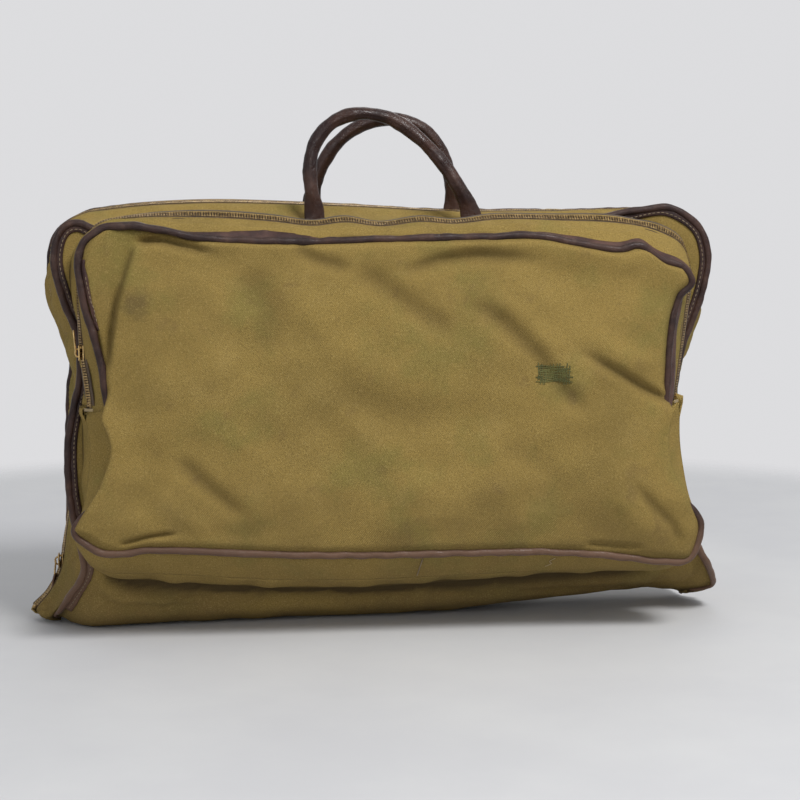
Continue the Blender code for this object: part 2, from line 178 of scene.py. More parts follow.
def along(points, t, closed=False):
    """Places on a smooth curve through the points; t counts in points."""
    last = len(points) - 1
    step = np.floor(t).astype(int)
    if not closed:
        step = np.clip(step, 0, last - 1)
    f = (t - step)[:, None]

    def point(k):
        return points[(step + k) % len(points)] if closed else points[np.clip(step + k, 0, last)]

    a, b, c, d = (point(k) for k in (-1, 0, 1, 2))
    return b + 0.5 * f * (c - a + f * (2 * a - 5 * b + 4 * c - d + f * (3 * (b - c) + d - a)))


def sample(stretches, counts, closed=False):
    """Even steps along each stretch of a curve, so that neighbouring curves match stretch by stretch."""
    points = np.concatenate([np.array(stretch, float) for stretch in stretches])
    marks = np.cumsum([0] + [len(stretch) for stretch in stretches])
    if not closed:
        marks[-1] -= 1
    params = []
    for low, high, count in zip(marks[:-1], marks[1:], counts):
        fine = np.linspace(low, high, 400)
        places = along(points, fine, closed)
        length = np.insert(np.linalg.norm(np.diff(places, axis=0), axis=1).cumsum(), 0, 0)
        params.append(np.interp(np.linspace(0, length[-1], count + 1)[:-1], length, fine))
    if not closed:
        params.append([marks[-1]])
    return along(points, np.concatenate(params), closed)


def directions(path, closed=False):
    """Unit tangents of a path."""
    if closed:
        step = np.roll(path, -1, 0) - np.roll(path, 1, 0)
    else:
        step = np.gradient(path, axis=0)
    return unit(step)


def unit(vectors):
    return vectors / np.maximum(np.linalg.norm(vectors, axis=-1, keepdims=True), 1e-9)


def outward(path, closed=False):
    """Away from the bag's middle, square to the path, for paths that climb its left side first."""
    return unit(np.cross(directions(path, closed), (0.0, 1.0, 0.0)))


def ripple(points, wavelength, seed, stretch=(1, 1, 1), waves=14):
    """A smooth random height of about -1 to 1. Stretch lengthens its waves along an axis."""
    draw = np.random.default_rng(seed)
    vectors = unit(draw.normal(size=(waves, 3))) * draw.uniform(0.6, 1.5, (waves, 1))
    vectors *= 2 * pi / (wavelength * np.array(stretch))
    phases = draw.uniform(0, 2 * pi, waves)
    flat = points.reshape(-1, 3)
    total = np.sin(flat @ vectors.T + phases).sum(1) / np.sqrt(waves)
    return total.reshape(points.shape[:-1])


def smooth(value):
    value = np.clip(value, 0, 1)
    return value * value * (3 - 2 * value)


# ---- meshes -------------------------------------------------------------------------------------


class Build:
    """Gathers vertices and faces of one piece."""

    def __init__(self):
        self.points, self.faces, self.uvs, self.count = [], [], [], 0

    def add(self, points, faces, uvs=None):
        points = np.asarray(points, float).reshape(-1, 3)
        self.faces += [tuple(int(i) + self.count for i in face) for face in faces]
        self.points.append(points)
        self.uvs.append(points[:, [0, 2]] if uvs is None else uvs.reshape(-1, 2))
        self.count += len(points)

    def grid(self, points, wrap_rows=False, wrap_columns=False):
        """Points[row, column] as quads, with lengths along the cloth as UVs."""
        rows, columns = points.shape[:2]
        index = np.arange(rows * columns).reshape(rows, columns)
        if wrap_rows:
            index = np.vstack([index, index[:1]])
        if wrap_columns:
            index = np.hstack([index, index[:, :1]])
        corners = (index[:-1, :-1], index[:-1, 1:], index[1:, 1:], index[1:, :-1])
        faces = np.stack([corner.ravel() for corner in corners], 1)
        across = np.linalg.norm(np.diff(points, axis=1), axis=2).mean(0)
        down = np.linalg.norm(np.diff(points, axis=0), axis=2).mean(1)
        u, v = np.insert(across.cumsum(), 0, 0), np.insert(down.cumsum(), 0, 0)
        self.add(points, faces, np.stack(np.meshgrid(u, v), -1))

    def tube(self, path, radius, around=12, closed=False):
        """A round tube; radius may be one number or one for each place."""
        tangents = directions(path, closed)
        side = np.empty_like(path)
        side[0] = unit(np.cross(tangents[0], (0.31, 0.87, 0.38)))
        for i in range(1, len(path)):
            side[i] = unit(side[i - 1] - tangents[i] * (side[i - 1] @ tangents[i]))
        other = np.cross(tangents, side)
        turn = np.linspace(0, 2 * pi, around, endpoint=False)[None, :, None]
        size = np.broadcast_to(radius, len(path))[:, None, None]
        rings = path[:, None] + size * (side[:, None] * np.cos(turn) + other[:, None] * np.sin(turn))
        first = self.count
        self.grid(rings, wrap_rows=closed, wrap_columns=True)
        if not closed:
            last = first + (len(path) - 1) * around
            self.faces.append(tuple(range(first + around - 1, first - 1, -1)))
            self.faces.append(tuple(range(last, last + around)))

    def boxes(self, centres, axes, sizes):
        """Small blocks; axes is three arrays of unit vectors, and sizes their full lengths."""
        corners = []
        for dx, dy, dz in ((-1, -1, -1), (1, -1, -1), (1, 1, -1), (-1, 1, -1)):
            corners.append((dx, dy, dz))
        corners += [(dx, dy, 1) for dx, dy, _ in corners]
        halves = [axis * size / 2 for axis, size in zip(axes, sizes)]
        points = [centres + sum(sign * half for sign, half in zip(c, halves)) for c in corners]
        faces = [(3, 2, 1, 0), (4, 5, 6, 7), (0, 1, 5, 4), (1, 2, 6, 5), (2, 3, 7, 6), (3, 0, 4, 7)]
        count = len(centres)
        all_faces = [tuple(n + 8 * i for n in face) for i in range(count) for face in faces]
        self.add(np.stack(points, 1), all_faces)

    def piece(self, name, surface, smooth_shading=True):
        mesh = bpy.data.meshes.new(name)
        points = np.concatenate(self.points)
        mesh.from_pydata(points.tolist(), [], self.faces)
        uvs = np.concatenate(self.uvs)
        layer = mesh.uv_layers.new(name="cloth")
        corners = np.empty(len(mesh.loops), np.int32)
        mesh.loops.foreach_get("vertex_index", corners)
        layer.data.foreach_set("uv", uvs[corners].astype(np.float32).ravel())
        mesh.validate()
        mesh.materials.append(surface)
        obj = bpy.data.objects.new(name, mesh)
        bpy.context.scene.collection.objects.link(obj)
        if smooth_shading:
            mesh.shade_smooth()
        remember_rest(obj)
        return obj


def remember_rest(obj):
    """Keeps each point's place at rest for the materials, so that stains and grain move with a pose."""
    mesh = obj.data
    places = np.empty(len(mesh.vertices) * 3, np.float32)
    mesh.vertices.foreach_get("co", places)
    layer = mesh.attributes.new("rest", "FLOAT_VECTOR", "POINT")
    layer.data.foreach_set("vector", places)


def apply_modifiers(obj):
    graph = bpy.context.evaluated_depsgraph_get()
    made = bpy.data.meshes.new_from_object(obj.evaluated_get(graph))
    obj.modifiers.clear()
    obj.data = made
    return obj


def thicken(obj, thickness, offset=-1.0):
    solid = obj.modifiers.new("thickness", "SOLIDIFY")
    solid.thickness = thickness
    solid.offset = offset
    return apply_modifiers(obj)


def surface_of(obj):
    return BVHTree.FromObject(obj, bpy.context.evaluated_depsgraph_get())


def lay_on(surface, points, lift):
    """Moves points onto a surface and lifts them off it."""
    laid = np.empty_like(points)
    flat = points.reshape(-1, 3)
    result = laid.reshape(-1, 3)
    for i, point in enumerate(flat):
        place, normal, _, _ = surface.find_nearest(Vector(point))
        away = normal if normal.dot(Vector(point) - place) >= 0 else -normal
        result[i] = place + away * lift
    return laid


# ---- node helpers and materials -----------------------------------------------------------------


class Shader:
    """A material whose nodes are added and linked in one call each."""

    def __init__(self, name, roughness=0.5, metallic=0.0):
        self.material = bpy.data.materials.new(name)
        self.material.use_nodes = True
        self.tree = self.material.node_tree
        self.surface = self.tree.nodes["Principled BSDF"]
        self.set(self.surface, {"Roughness": roughness, "Metallic": metallic})
        self.rest = self.add("Attribute", {}, attribute_name="rest").outputs["Vector"]
        self.cloth = self.add("UVMap", {}, uv_map="cloth").outputs["UV"]

    def set(self, node, values):
        for key, value in values.items():
            if isinstance(value, bpy.types.NodeSocket):
                self.tree.links.new(value, node.inputs[key])
            else:
                node.inputs[key].default_value = value

    def add(self, kind, values, **settings):
        node = self.tree.nodes.new("ShaderNode" + kind)
        for key, value in settings.items():
            setattr(node, key, value)
        self.set(node, values)
        return node

    def noise(self, scale, detail=3.0, roughness=0.5, where=None):
        values = {"Vector": where or self.rest, "Scale": scale, "Detail": detail}
        return self.add("TexNoise", {**values, "Roughness": roughness}).outputs["Fac"]

    def ramp(self, value, low, high, start=0.0, end=1.0):
        settings = {"Value": value, "From Min": low, "From Max": high}
        values = {**settings, "To Min": start, "To Max": end}
        return self.add("MapRange", values, interpolation_type="SMOOTHSTEP").outputs["Result"]

    def math(self, kind, first, second=0.0):
        return self.add("Math", {0: first, 1: second}, operation=kind).outputs[0]

    def mix(self, share, first, second, blend="MIX"):
        node = self.add("Mix", {0: share}, data_type="RGBA", blend_type=blend)
        for socket, value in ((node.inputs[6], first), (node.inputs[7], second)):
            if isinstance(value, bpy.types.NodeSocket):
                self.tree.links.new(value, socket)
            else:
                socket.default_value = (*value, 1.0)
        return node.outputs[2]

    def bump(self, height, distance, strength=1.0, under=None):
        values = {"Height": height, "Distance": distance, "Strength": strength}
        if under is not None:
            values["Normal"] = under
        return self.add("Bump", values).outputs["Normal"]

    def near(self, place, radius):
        """1 at a place at rest, falling to 0 at the radius, with a ragged edge."""
        offset = self.add("VectorMath", {0: self.rest, 1: place}, operation="SUBTRACT")
        far = self.add("VectorMath", {0: offset.outputs[0]}, operation="LENGTH").outputs["Value"]
        ragged = self.ramp(self.noise(90.0, 4.0), 0.3, 0.7, -0.2 * radius, 0.2 * radius)
        return self.ramp(self.math("ADD", far, ragged), radius, 0.25 * radius)

    def worn_edges(self, low=0.52, high=0.62):
        return self.ramp(self.add("NewGeometry", {}).outputs["Pointiness"], low, high)

    def weave(self, pitch):
        """Height of crossing threads, following the cloth."""
        split = self.add("SeparateXYZ", {"Vector": self.cloth}).outputs
        warp = self.math("SINE", self.math("MULTIPLY", split[0], 2 * pi / pitch))
        weft = self.math("SINE", self.math("MULTIPLY", split[1], 2 * pi / pitch))
        return self.math("MULTIPLY", warp, weft)

    def finish(self, **values):
        self.set(self.surface, values)
        return self.material


def canvas_material(name="canvas", stains=()):
    made = Shader(name, roughness=0.9)
    olive, dark, faded = (0.300, 0.205, 0.058), (0.215, 0.150, 0.044), (0.370, 0.262, 0.088)
    green, brown = (0.205, 0.172, 0.046), (0.165, 0.105, 0.042)
    colour = made.mix(made.ramp(made.noise(9.0, 4.0, 0.6), 0.40, 0.72, 0.0, 0.7), olive, dark)
    colour = made.mix(made.ramp(made.noise(13.0, 4.0, 0.6), 0.50, 0.68, 0.0, 0.65), colour, green)
    colour = made.mix(made.ramp(made.noise(23.0, 5.0, 0.65), 0.52, 0.78, 0.0, 0.5), colour, faded)
    colour = made.mix(made.ramp(made.noise(31.0, 5.0, 0.65), 0.56, 0.76, 0.0, 0.55), colour, brown)
    # Browner towards the bottom: partly dirt, partly painted shade of the lower cloth.
    height = made.add("SeparateXYZ", {"Vector": made.rest}).outputs[2]
    low = made.math("MULTIPLY", made.ramp(height, 0.11, 0.0), made.ramp(made.noise(14.0, 5.0), 0.25, 0.6))
    colour = made.mix(made.math("MULTIPLY", low, 0.62), colour, brown)
    for place, radius, share in stains:
        mark = made.math("MULTIPLY", made.near(place, radius), share)
        colour = made.mix(mark, colour, (0.070, 0.052, 0.032))
    colour = made.mix(made.ramp(made.noise(1150.0, 2.0), 0.42, 0.68, 0.0, 0.55), colour, (0.130, 0.088, 0.026))
    colour = made.mix(made.ramp(made.noise(980.0, 2.0), 0.50, 0.74, 0.0, 0.36), colour, (0.500, 0.370, 0.140))
    # Darkening carried by the cloth: dirt and painted shade at seams, painted shade in creases, grooves and the
    # pocket front's lower part.
    shade_and_grime = made.add("Attribute", {}, attribute_name="shade_and_grime").outputs["Fac"]
    colour = made.mix(made.math("MULTIPLY", shade_and_grime, 0.85), colour, (0.036, 0.023, 0.012))
    thread = made.weave(1.5 * MM)
    colour = made.mix(made.ramp(thread, -0.2, -1.0, 0.0, 0.30), colour, dark)
    colour = made.mix(made.worn_edges(0.54, 0.72), colour, faded)
    fuzz = made.bump(made.noise(620.0, 4.0, 0.7), 0.30 * MM, 0.6)
    normal = made.bump(thread, 0.25 * MM, 0.8, fuzz)
    return made.finish(**{"Base Color": colour, "Normal": normal, "Specular IOR Level": 0.15})


def leather_material(name="leather", worn=0.55, gloss=0.42, tone=1.0):
    made = Shader(name)
    dark, brown = ([tone * part for part in base] for base in ((0.020, 0.009, 0.008), (0.058, 0.028, 0.020)))
    faded, scuffed = (0.150, 0.082, 0.048), (0.230, 0.140, 0.095)
    colour = made.mix(made.ramp(made.noise(38.0, 5.0, 0.6), 0.35, 0.7), dark, brown)
    height = made.add("SeparateXYZ", {"Vector": made.rest}).outputs[2]
    colour = made.mix(made.ramp(height, 0.12, 0.07, 0.0, 0.75), colour, faded)
    scuffs = made.ramp(made.noise(120.0, 6.0, 0.7), 0.5, 0.72)
    wear = made.math("MULTIPLY", made.worn_edges(0.50, 0.62), scuffs)
    colour = made.mix(made.math("MULTIPLY", wear, worn), colour, scuffed)
    cracks = made.add("TexVoronoi", {"Vector": made.rest, "Scale": 520.0}, feature="DISTANCE_TO_EDGE")
    grain = made.ramp(cracks.outputs["Distance"], 0.0, 0.12)
    creased = made.bump(made.noise(160.0, 6.0, 0.65), 0.9 * MM, 0.5)
    normal = made.bump(grain, 0.25 * MM, 0.55, creased)
    rough = made.ramp(made.noise(70.0, 4.0), 0.3, 0.7, gloss - 0.1, gloss + 0.2)
    values = {"Base Color": colour, "Normal": normal, "Roughness": rough, "Specular IOR Level": 0.3}
    return made.finish(**values)


def brass_material(name, shine, tarnish):
    made = Shader(name, metallic=1.0)
    dull = made.ramp(made.noise(260.0, 4.0), 0.38, 0.62)
    colour = made.mix(made.math("MULTIPLY", dull, tarnish), shine, (0.150, 0.086, 0.036))
    scratches = made.bump(made.noise(900.0, 3.0), 0.08 * MM, 0.4)
    rough = made.ramp(made.noise(300.0, 3.0), 0.3, 0.7, 0.24, 0.52)
    return made.finish(**{"Base Color": colour, "Normal": scratches, "Roughness": rough})


def woven_material(name, light, dark, pitch):
    made = Shader(name, roughness=0.88)
    colour = made.mix(made.ramp(made.noise(60.0, 5.0), 0.3, 0.7), light, dark)
    thread = made.weave(pitch)
    colour = made.mix(made.ramp(thread, 0.0, -1.0, 0.0, 0.5), colour, dark)
    normal = made.bump(thread, 0.2 * MM, 0.8, made.bump(made.noise(600.0, 3.0), 0.15 * MM, 0.5))
    return made.finish(**{"Base Color": colour, "Normal": normal, "Sheen Weight": 0.1})


def board_material(name):
    made = Shader(name, roughness=0.92)
    colour = made.mix(made.noise(45.0, 6.0, 0.7), (0.130, 0.088, 0.052), (0.072, 0.050, 0.032))
    return made.finish(**{"Base Color": colour, "Normal": made.bump(made.noise(500.0, 5.0), 0.2 * MM, 0.6)})


CANVAS_STAINS = [
    ((-0.213, -0.105, 0.299), 0.017, 0.50),
    ((-0.198, -0.105, 0.318), 0.006, 0.65),
    ((-0.100, -0.108, 0.211), 0.004, 0.50),
    ((0.000, -0.108, 0.183), 0.009, 0.45),
]
canvas = canvas_material()
face_canvas = canvas_material("stained_canvas", CANVAS_STAINS)
leather = leather_material()
handle_leather = leather_material("glossy_leather", 0.85, 0.26)
welt_leather = leather_material("flat_leather", 0.70, 0.50, 1.7)
bright_brass = brass_material("bright_brass", (0.800, 0.560, 0.240), 0.35)
old_brass = brass_material("old_brass", (0.560, 0.385, 0.165), 0.65)
tape = woven_material("zip_tape", (0.115, 0.072, 0.036), (0.055, 0.034, 0.018), 1.1 * MM)
webbing = woven_material("webbing", (0.115, 0.074, 0.036), (0.060, 0.038, 0.020), 1.8 * MM)
thread = woven_material("thread", (0.330, 0.250, 0.150), (0.210, 0.150, 0.085), 0.8 * MM)
pale_thread = woven_material("pale_thread", (0.560, 0.430, 0.230), (0.400, 0.300, 0.150), 0.8 * MM)
darn_thread = woven_material("darning", (0.160, 0.150, 0.034), (0.052, 0.060, 0.013), 0.8 * MM)
black_thread = woven_material("black_thread", (0.030, 0.024, 0.020), (0.012, 0.010, 0.009), 0.8 * MM)
fibreboard = board_material("fibreboard")


# ---- the edges' curves --------------------------------------------------------------------------

SIDE_STEPS, CORNERED_TOP_STEPS = 110, 150


def body_edge(which, plane_y, inward):
    """One of the three curves up the left side, over the top and down the right side."""

    def place(row, side_x, sign):
        entry = row[which]
        inset, height = entry[0], entry[-1]
        tuck = entry[1] if len(entry) == 3 else 0
        return (side_x + sign * inset * MM, plane_y + inward * tuck * MM, height * MM)

    left = [place(row, BODY_LOW.x, 1) for row in BODY_LEFT]
    right = [place(row, BODY_HIGH.x, -1) for row in BODY_RIGHT[::-1]]
    top = [(row[0] * MM, plane_y, BODY_HIGH.z - row[1 + which] * MM) for row in BODY_TOP]
    return sample([left, top, right], (SIDE_STEPS, CORNERED_TOP_STEPS, SIDE_STEPS))


POCKET_COUNTS = (66, 220, 66, 48, 220, 48)


def pocket_edge():
    """The closed curve of the pocket's binding, from the left end of its zip."""

    def side(rows, side_x, sign):
        return [(side_x + sign * i * MM, POCKET_PIPING_Y + t * MM, z * MM) for i, t, z in rows]

    top = [(x * MM, POCKET_PIPING_Y + t * MM, POCKET_TOP - d * MM) for x, t, d in EDGE_TOP]
    bottom = [(x * MM, POCKET_PIPING_Y + t * MM, POCKET_LOW.z + r * MM) for x, t, r in EDGE_BOTTOM]
    stretches = [
        side(EDGE_LEFT_UPPER, POCKET_LOW.x, 1),
        top,
        side(EDGE_RIGHT_UPPER, POCKET_HIGH.x, -1),
        side(EDGE_RIGHT_LOWER, POCKET_HIGH.x, -1),
        bottom,
        side(EDGE_LEFT_LOWER, POCKET_LOW.x, 1),
    ]
    return sample(stretches, POCKET_COUNTS, closed=True)


def pocket_side(rows, side_x, sign, y):
    return [(side_x + sign * inset * MM, y, height * MM) for inset, height in rows]


def pocket_root():
    """The closed curve where the pocket's sides meet the front panel."""
    top = [(x * MM, POCKET_ROOT_Y, POCKET_TOP - drop * MM) for x, drop in ROOT_TOP]
    bottom = [(x * MM, POCKET_ROOT_Y + GROOVE, POCKET_LOW.z + rise * MM) for x, rise in ROOT_BOTTOM]
    stretches = [
        pocket_side(ROOT_LEFT_UPPER, POCKET_LOW.x, 1, POCKET_ROOT_Y),
        top,
        pocket_side(ROOT_RIGHT_UPPER, POCKET_HIGH.x, -1, POCKET_ROOT_Y),
        pocket_side(ROOT_RIGHT_LOWER, POCKET_HIGH.x, -1, POCKET_ROOT_Y),
        bottom,
        pocket_side(ROOT_LEFT_LOWER, POCKET_LOW.x, 1, POCKET_ROOT_Y),
    ]
    return sample(stretches, POCKET_COUNTS, closed=True)


def pocket_zip_line():
    """The arch of the pocket's zip, from its left end to its right end."""
    top = [(x * MM, POCKET_ZIP_Y, POCKET_TOP - drop * MM) for x, drop in ZIP_TOP]
    stretches = [
        pocket_side(ZIP_LEFT, POCKET_LOW.x, 1, POCKET_ZIP_Y),
        top,
        pocket_side(ZIP_RIGHT, POCKET_HIGH.x, -1, POCKET_ZIP_Y),
    ]
    return sample(stretches, POCKET_COUNTS[:3])


FRONT_EDGE = body_edge(0, FRONT_PIPING_Y, 1)
MAIN_ZIP = body_edge(1, ZIP_Y, 0)
REAR_EDGE = body_edge(2, REAR_PIPING_Y, -1)
POCKET_EDGE = pocket_edge()
POCKET_ROOT = pocket_root()
POCKET_ZIP = pocket_zip_line()


def pocket_middle():
    """The zip's arch, closed along the pocket's sides and bottom between its edge and its root."""
    arch = len(POCKET_ZIP) - 1
    share = (POCKET_ZIP_Y - POCKET_PIPING_Y) / (POCKET_ROOT_Y - POCKET_PIPING_Y)
    whole = POCKET_EDGE + (POCKET_ROOT - POCKET_EDGE) * share
    lower = len(whole) - arch
    fade = np.linspace(0, 1, lower + 1)[:, None]
    near_right = np.clip(1 - fade * 8, 0, 1) * (POCKET_ZIP[-1] - whole[arch])
    near_left = np.clip(1 - (1 - fade) * 8, 0, 1) * (POCKET_ZIP[0] - whole[0])
    whole += outward(whole, True) * 6 * MM
    whole[:arch] = POCKET_ZIP[:-1]
    whole[arch:] += near_right[:-1] + near_left[:-1]
    return whole


def leaning(path, front, closed=False):
    """Unit vectors across a zip, from its front row to its back row, in the slope of the cloth before it."""
    tangents = directions(path, closed)
    across = path - front + np.array((0.0, 5 * MM, 0.0))
    return unit(across - tangents * (across * tangents).sum(-1, keepdims=True))


def pocket_opening():
    """Half the gap that the zip fills: full along the arch, closed below its ends."""
    arch = len(POCKET_ZIP)
    lower = np.arange(len(POCKET_MIDDLE) - arch)
    from_end = np.minimum(lower, lower[::-1])
    share = np.concatenate([np.ones(arch), np.clip(1 - from_end / 4, 0, 1)])
    return share[:, None] * ZIP_HALF_GAP * leaning(POCKET_MIDDLE, POCKET_EDGE, True)


POCKET_MIDDLE = pocket_middle()
POCKET_OPENING = pocket_opening()
POCKET_LEAN = leaning(POCKET_ZIP, POCKET_EDGE[: len(POCKET_ZIP)])
MAIN_LEAN = leaning(MAIN_ZIP, FRONT_EDGE)


# ---- canvas sheets ------------------------------------------------------------------------------


def fill(left, right, top, bottom):
    """A sheet between four edges that meet at its corners; rows run from left to right."""
    u = np.linspace(0, 1, len(top))[None, :, None]
    v = np.linspace(0, 1, len(left))[:, None, None]
    sides = left[:, None] * (1 - u) + right[:, None] * u
    ends = top[None] * (1 - v) + bottom[None] * v
    upper = top[0] * (1 - u) + top[-1] * u
    lower = bottom[0] * (1 - u) + bottom[-1] * u
    return sides + ends - upper * (1 - v) - lower * v


def normals(points):
    down, across = np.gradient(points, axis=0), np.gradient(points, axis=1)
    return unit(np.cross(down, across))


def from_border(rows, columns, spacing):
    """Distance of each grid point from the nearest border of the sheet, roughly."""
    r = np.minimum(np.arange(rows), np.arange(rows)[::-1])[:, None]
    c = np.minimum(np.arange(columns), np.arange(columns)[::-1])[None, :]
    return np.minimum(r, c) * spacing


def fold_distance(x, z, line):
    """Distance from a line of (x, z) points, its signed side, and how far along the line (0 to 1)."""
    line = np.array(line, float) * MM
    best = np.full(x.shape, 1e9)
    side, place = np.zeros(x.shape), np.zeros(x.shape)
    pieces = len(line) - 1
    for i in range(pieces):
        a, step = line[i], line[i + 1] - line[i]
        share = ((x - a[0]) * step[0] + (z - a[1]) * step[1]) / (step @ step)
        held = np.clip(share, 0, 1)
        dx, dz = x - a[0] - held * step[0], z - a[1] - held * step[1]
        away = np.hypot(dx, dz)
        closer = away < best
        best = np.where(closer, away, best)
        side = np.where(closer, np.sign(step[0] * dz - step[1] * dx), side)
        place = np.where(closer, (i + held) / pieces, place)
    return best, side, place


def crease(x, z, line, depth, width, ends=0.25):
    """A valley (or, with a negative depth, a ridge) along a line, dying out towards its ends."""
    away, _, place = fold_distance(x, z, line)
    taper = smooth(place / ends) * smooth((1 - place) / ends)
    return -depth * MM * np.exp(-((away / (width * MM)) ** 2)) * taper


def ledge(x, z, line, height, width, ends=0.2):
    """A step down across a line, on its right-hand side."""
    away, side, place = fold_distance(x, z, line)
    taper = smooth(place / ends) * smooth((1 - place) / ends)
    reach = np.exp(-((away / (26 * MM)) ** 2))
    return -height * MM * taper * reach * smooth(0.5 - side * away / (2 * width * MM))


def settle(points, free, slack, pressure, cap, frames=22):
    """Lets a sheet wrinkle: a short cloth simulation of a cloth cut slightly too large for its seams.

    Free is 0 where the cloth is held and 1 where it may move by up to the cap.
    """
    build = Build()
    build.grid(points[:, ::-1])
    obj = build.piece("settling", canvas)
    held = obj.vertex_groups.new(name="held")
    weights = 1 - free[:, ::-1].ravel()
    for level in np.unique(np.round(weights, 1)):
        chosen = np.flatnonzero(np.round(weights, 1) == level)
        held.add(chosen.tolist(), float(level), "REPLACE")
    cloth = obj.modifiers.new("cloth", "CLOTH")
    settings = cloth.settings
    settings.quality = 5
    settings.mass = 0.35
    settings.tension_stiffness = settings.compression_stiffness = 18
    settings.shear_stiffness = 8
    settings.bending_stiffness = 1.4
    settings.tension_damping = settings.compression_damping = settings.shear_damping = 12
    settings.shrink_min = -slack
    settings.vertex_group_mass = "held"
    settings.pin_stiffness = 1.0
    settings.use_pressure = pressure > 0
    settings.uniform_pressure_force = pressure
    cloth.collision_settings.use_collision = False
    cloth.point_cache.frame_end = frames
    scene = bpy.context.scene
    for number in range(1, frames + 1):
        scene.frame_set(number)
    evaluated = obj.evaluated_get(bpy.context.evaluated_depsgraph_get())
    places = np.empty(len(obj.data.vertices) * 3, np.float32)
    evaluated.data.vertices.foreach_get("co", places)
    moved = places.reshape(points.shape).astype(float)[:, ::-1] - points
    length = np.linalg.norm(moved, axis=-1, keepdims=True)
    moved *= cap * np.tanh(length / cap) / np.maximum(length, 1e-9)
    scene.frame_set(1)
    bpy.data.objects.remove(obj)
    return points + moved * free[..., None]


def body_sheet():
    """Front panel, bottom and rear panel: one cloth that runs under the bag."""
    top_start, top_end = SIDE_STEPS, SIDE_STEPS + CORNERED_TOP_STEPS
    left = np.concatenate([FRONT_EDGE[top_start::-1], REAR_EDGE[1 : top_start + 1]])
    right = np.concatenate([FRONT_EDGE[top_end:], REAR_EDGE[-2 : top_end - 1 : -1]])
    across = FRONT_EDGE[top_start : top_end + 1], REAR_EDGE[top_start : top_end + 1]
    points = fill(left, right, *across)
    rows, columns = points.shape[:2]
    away = normals(points)
    border = from_border(rows, columns, GRID)
    x, y, z = points[..., 0], points[..., 1], points[..., 2]
    rear = smooth((y - ZIP_Y) / (20 * MM))
    low = smooth(1 - np.abs(np.arange(rows) - rows / 2)[:, None] / (0.15 * rows)) + 0 * x
    belly = low * smooth(border / (30 * MM)) * (12 - 7 * smooth(x / 0.2)) * MM
    pillow = smooth(border / (45 * MM)) * (1 - low) * (2 + 7 * rear) * MM
    slump = rear * np.exp(-(((z - 0.11) / 0.07) ** 2)) * smooth(border / (50 * MM)) * 5 * MM
    soft = ripple(points, 130 * MM, 3, (1.4, 1, 0.8)) * 2.2 * MM * rear
    folds = -np.abs(ripple(points, 90 * MM, 11, (1, 1, 2.2))) * 3.2 * MM * rear
    folds *= smooth((0.365 - z) / 0.04)
    fine = ripple(points, 38 * MM, 5, (1.0, 1, 1.6)) * 0.5 * MM
    root_line = [(x, POCKET_LOW.z / MM + rise) for x, rise in ROOT_BOTTOM]
    groove = crease(x, z, root_line, GROOVE / MM + 1, 9, 0.06) * (y < ZIP_Y)
    height = groove + belly + pillow + slump + (soft + folds + fine) * smooth(border / (18 * MM))
    points = points + away * height[..., None]
    roll = np.exp(-(((z - 0.018) / 0.013) ** 2)) * smooth(border / (40 * MM)) * (y < ZIP_Y)
    points[..., 1] -= roll * 8 * MM
    front = smooth((ZIP_Y - points[..., 1]) / (20 * MM)) * smooth((z - 0.055) / 0.02)
    free = smooth((border - 2 * GRID) / (12 * MM)) * (1 - front) * smooth((z - 0.012) / 0.03)
    points = settle(points, free, 0.035, 1.5, 12 * MM)
    points[..., 2] = np.maximum(points[..., 2], 0.3 * MM + CANVAS)
    lining_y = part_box("garment_strap_upper")[1].y + CANVAS + 0.8 * MM
    behind = (points[..., 1] > ZIP_Y) & (points[..., 2] > 0.06) & (border > 2 * GRID)
    points[..., 1] = np.where(behind, np.maximum(points[..., 1], lining_y), points[..., 1])
    # The cloth's darkening: dirt and painted shade along the seams, and painted shade in the groove under the
    # pocket.
    return points, canvas, np.maximum(seam_shade_and_grime(border), (groove / GROOVE) ** 2)


# Where the full pocket's front steps back to its binding, and its folds: line, depth, width.
FACE_LEDGE = [(-146, 339), (-190, 349), (-214, 347), (-226, 315), (-236, 259), (-240, 228)]
FACE_CREASES = [
    ([(-213, 352), (-222, 325), (-231, 295), (-236, 262), (-238, 232)], 5.5, 2.4),
    ([(-216, 348), (-197, 351), (-175, 346), (-140, 337)], 5.5, 4.0),
    ([(-82, 347), (-62, 334), (-26, 324)], 5.0, 6.5),
    ([(6, 320), (45, 333), (79, 337), (145, 331)], 5.4, 6.0),
    ([(20, 325), (60, 345), (100, 348)], -2.0, 7.0),
    ([(-34, 329), (0, 308), (30, 286), (64, 268)], 4.0, 10.0),
    ([(60, 304), (101, 278), (131, 250), (153, 219), (186, 192)], 5.2, 8.0),
    ([(84, 306), (120, 284), (152, 246)], -2.4, 9.0),
    ([(160, 258), (204, 233), (230, 217), (258, 198)], 6.4, 5.0),
    ([(168, 272), (208, 250), (240, 234)], -2.6, 9.0),
    ([(-186, 170), (-153, 138), (-116, 106)], 5.0, 8.0),
    ([(-204, 140), (-180, 118), (-150, 96)], -2.6, 9.0),
    ([(212, 144), (236, 114), (252, 99), (264, 74)], 6.2, 5.5),
    ([(196, 130), (216, 108), (236, 86)], -2.4, 8.0),
    ([(-235, 91), (-205, 98), (-178, 101)], 5.6, 2.4),
    ([(168, 84), (200, 81), (232, 79)], 4.6, 2.4),
    ([(-124, 330), (-100, 290), (-106, 246)], 3.0, 14.0),
    ([(-60, 230), (-10, 205), (60, 200)], 2.6, 16.0),
    ([(90, 180), (140, 150), (170, 120)], 2.4, 13.0),
]


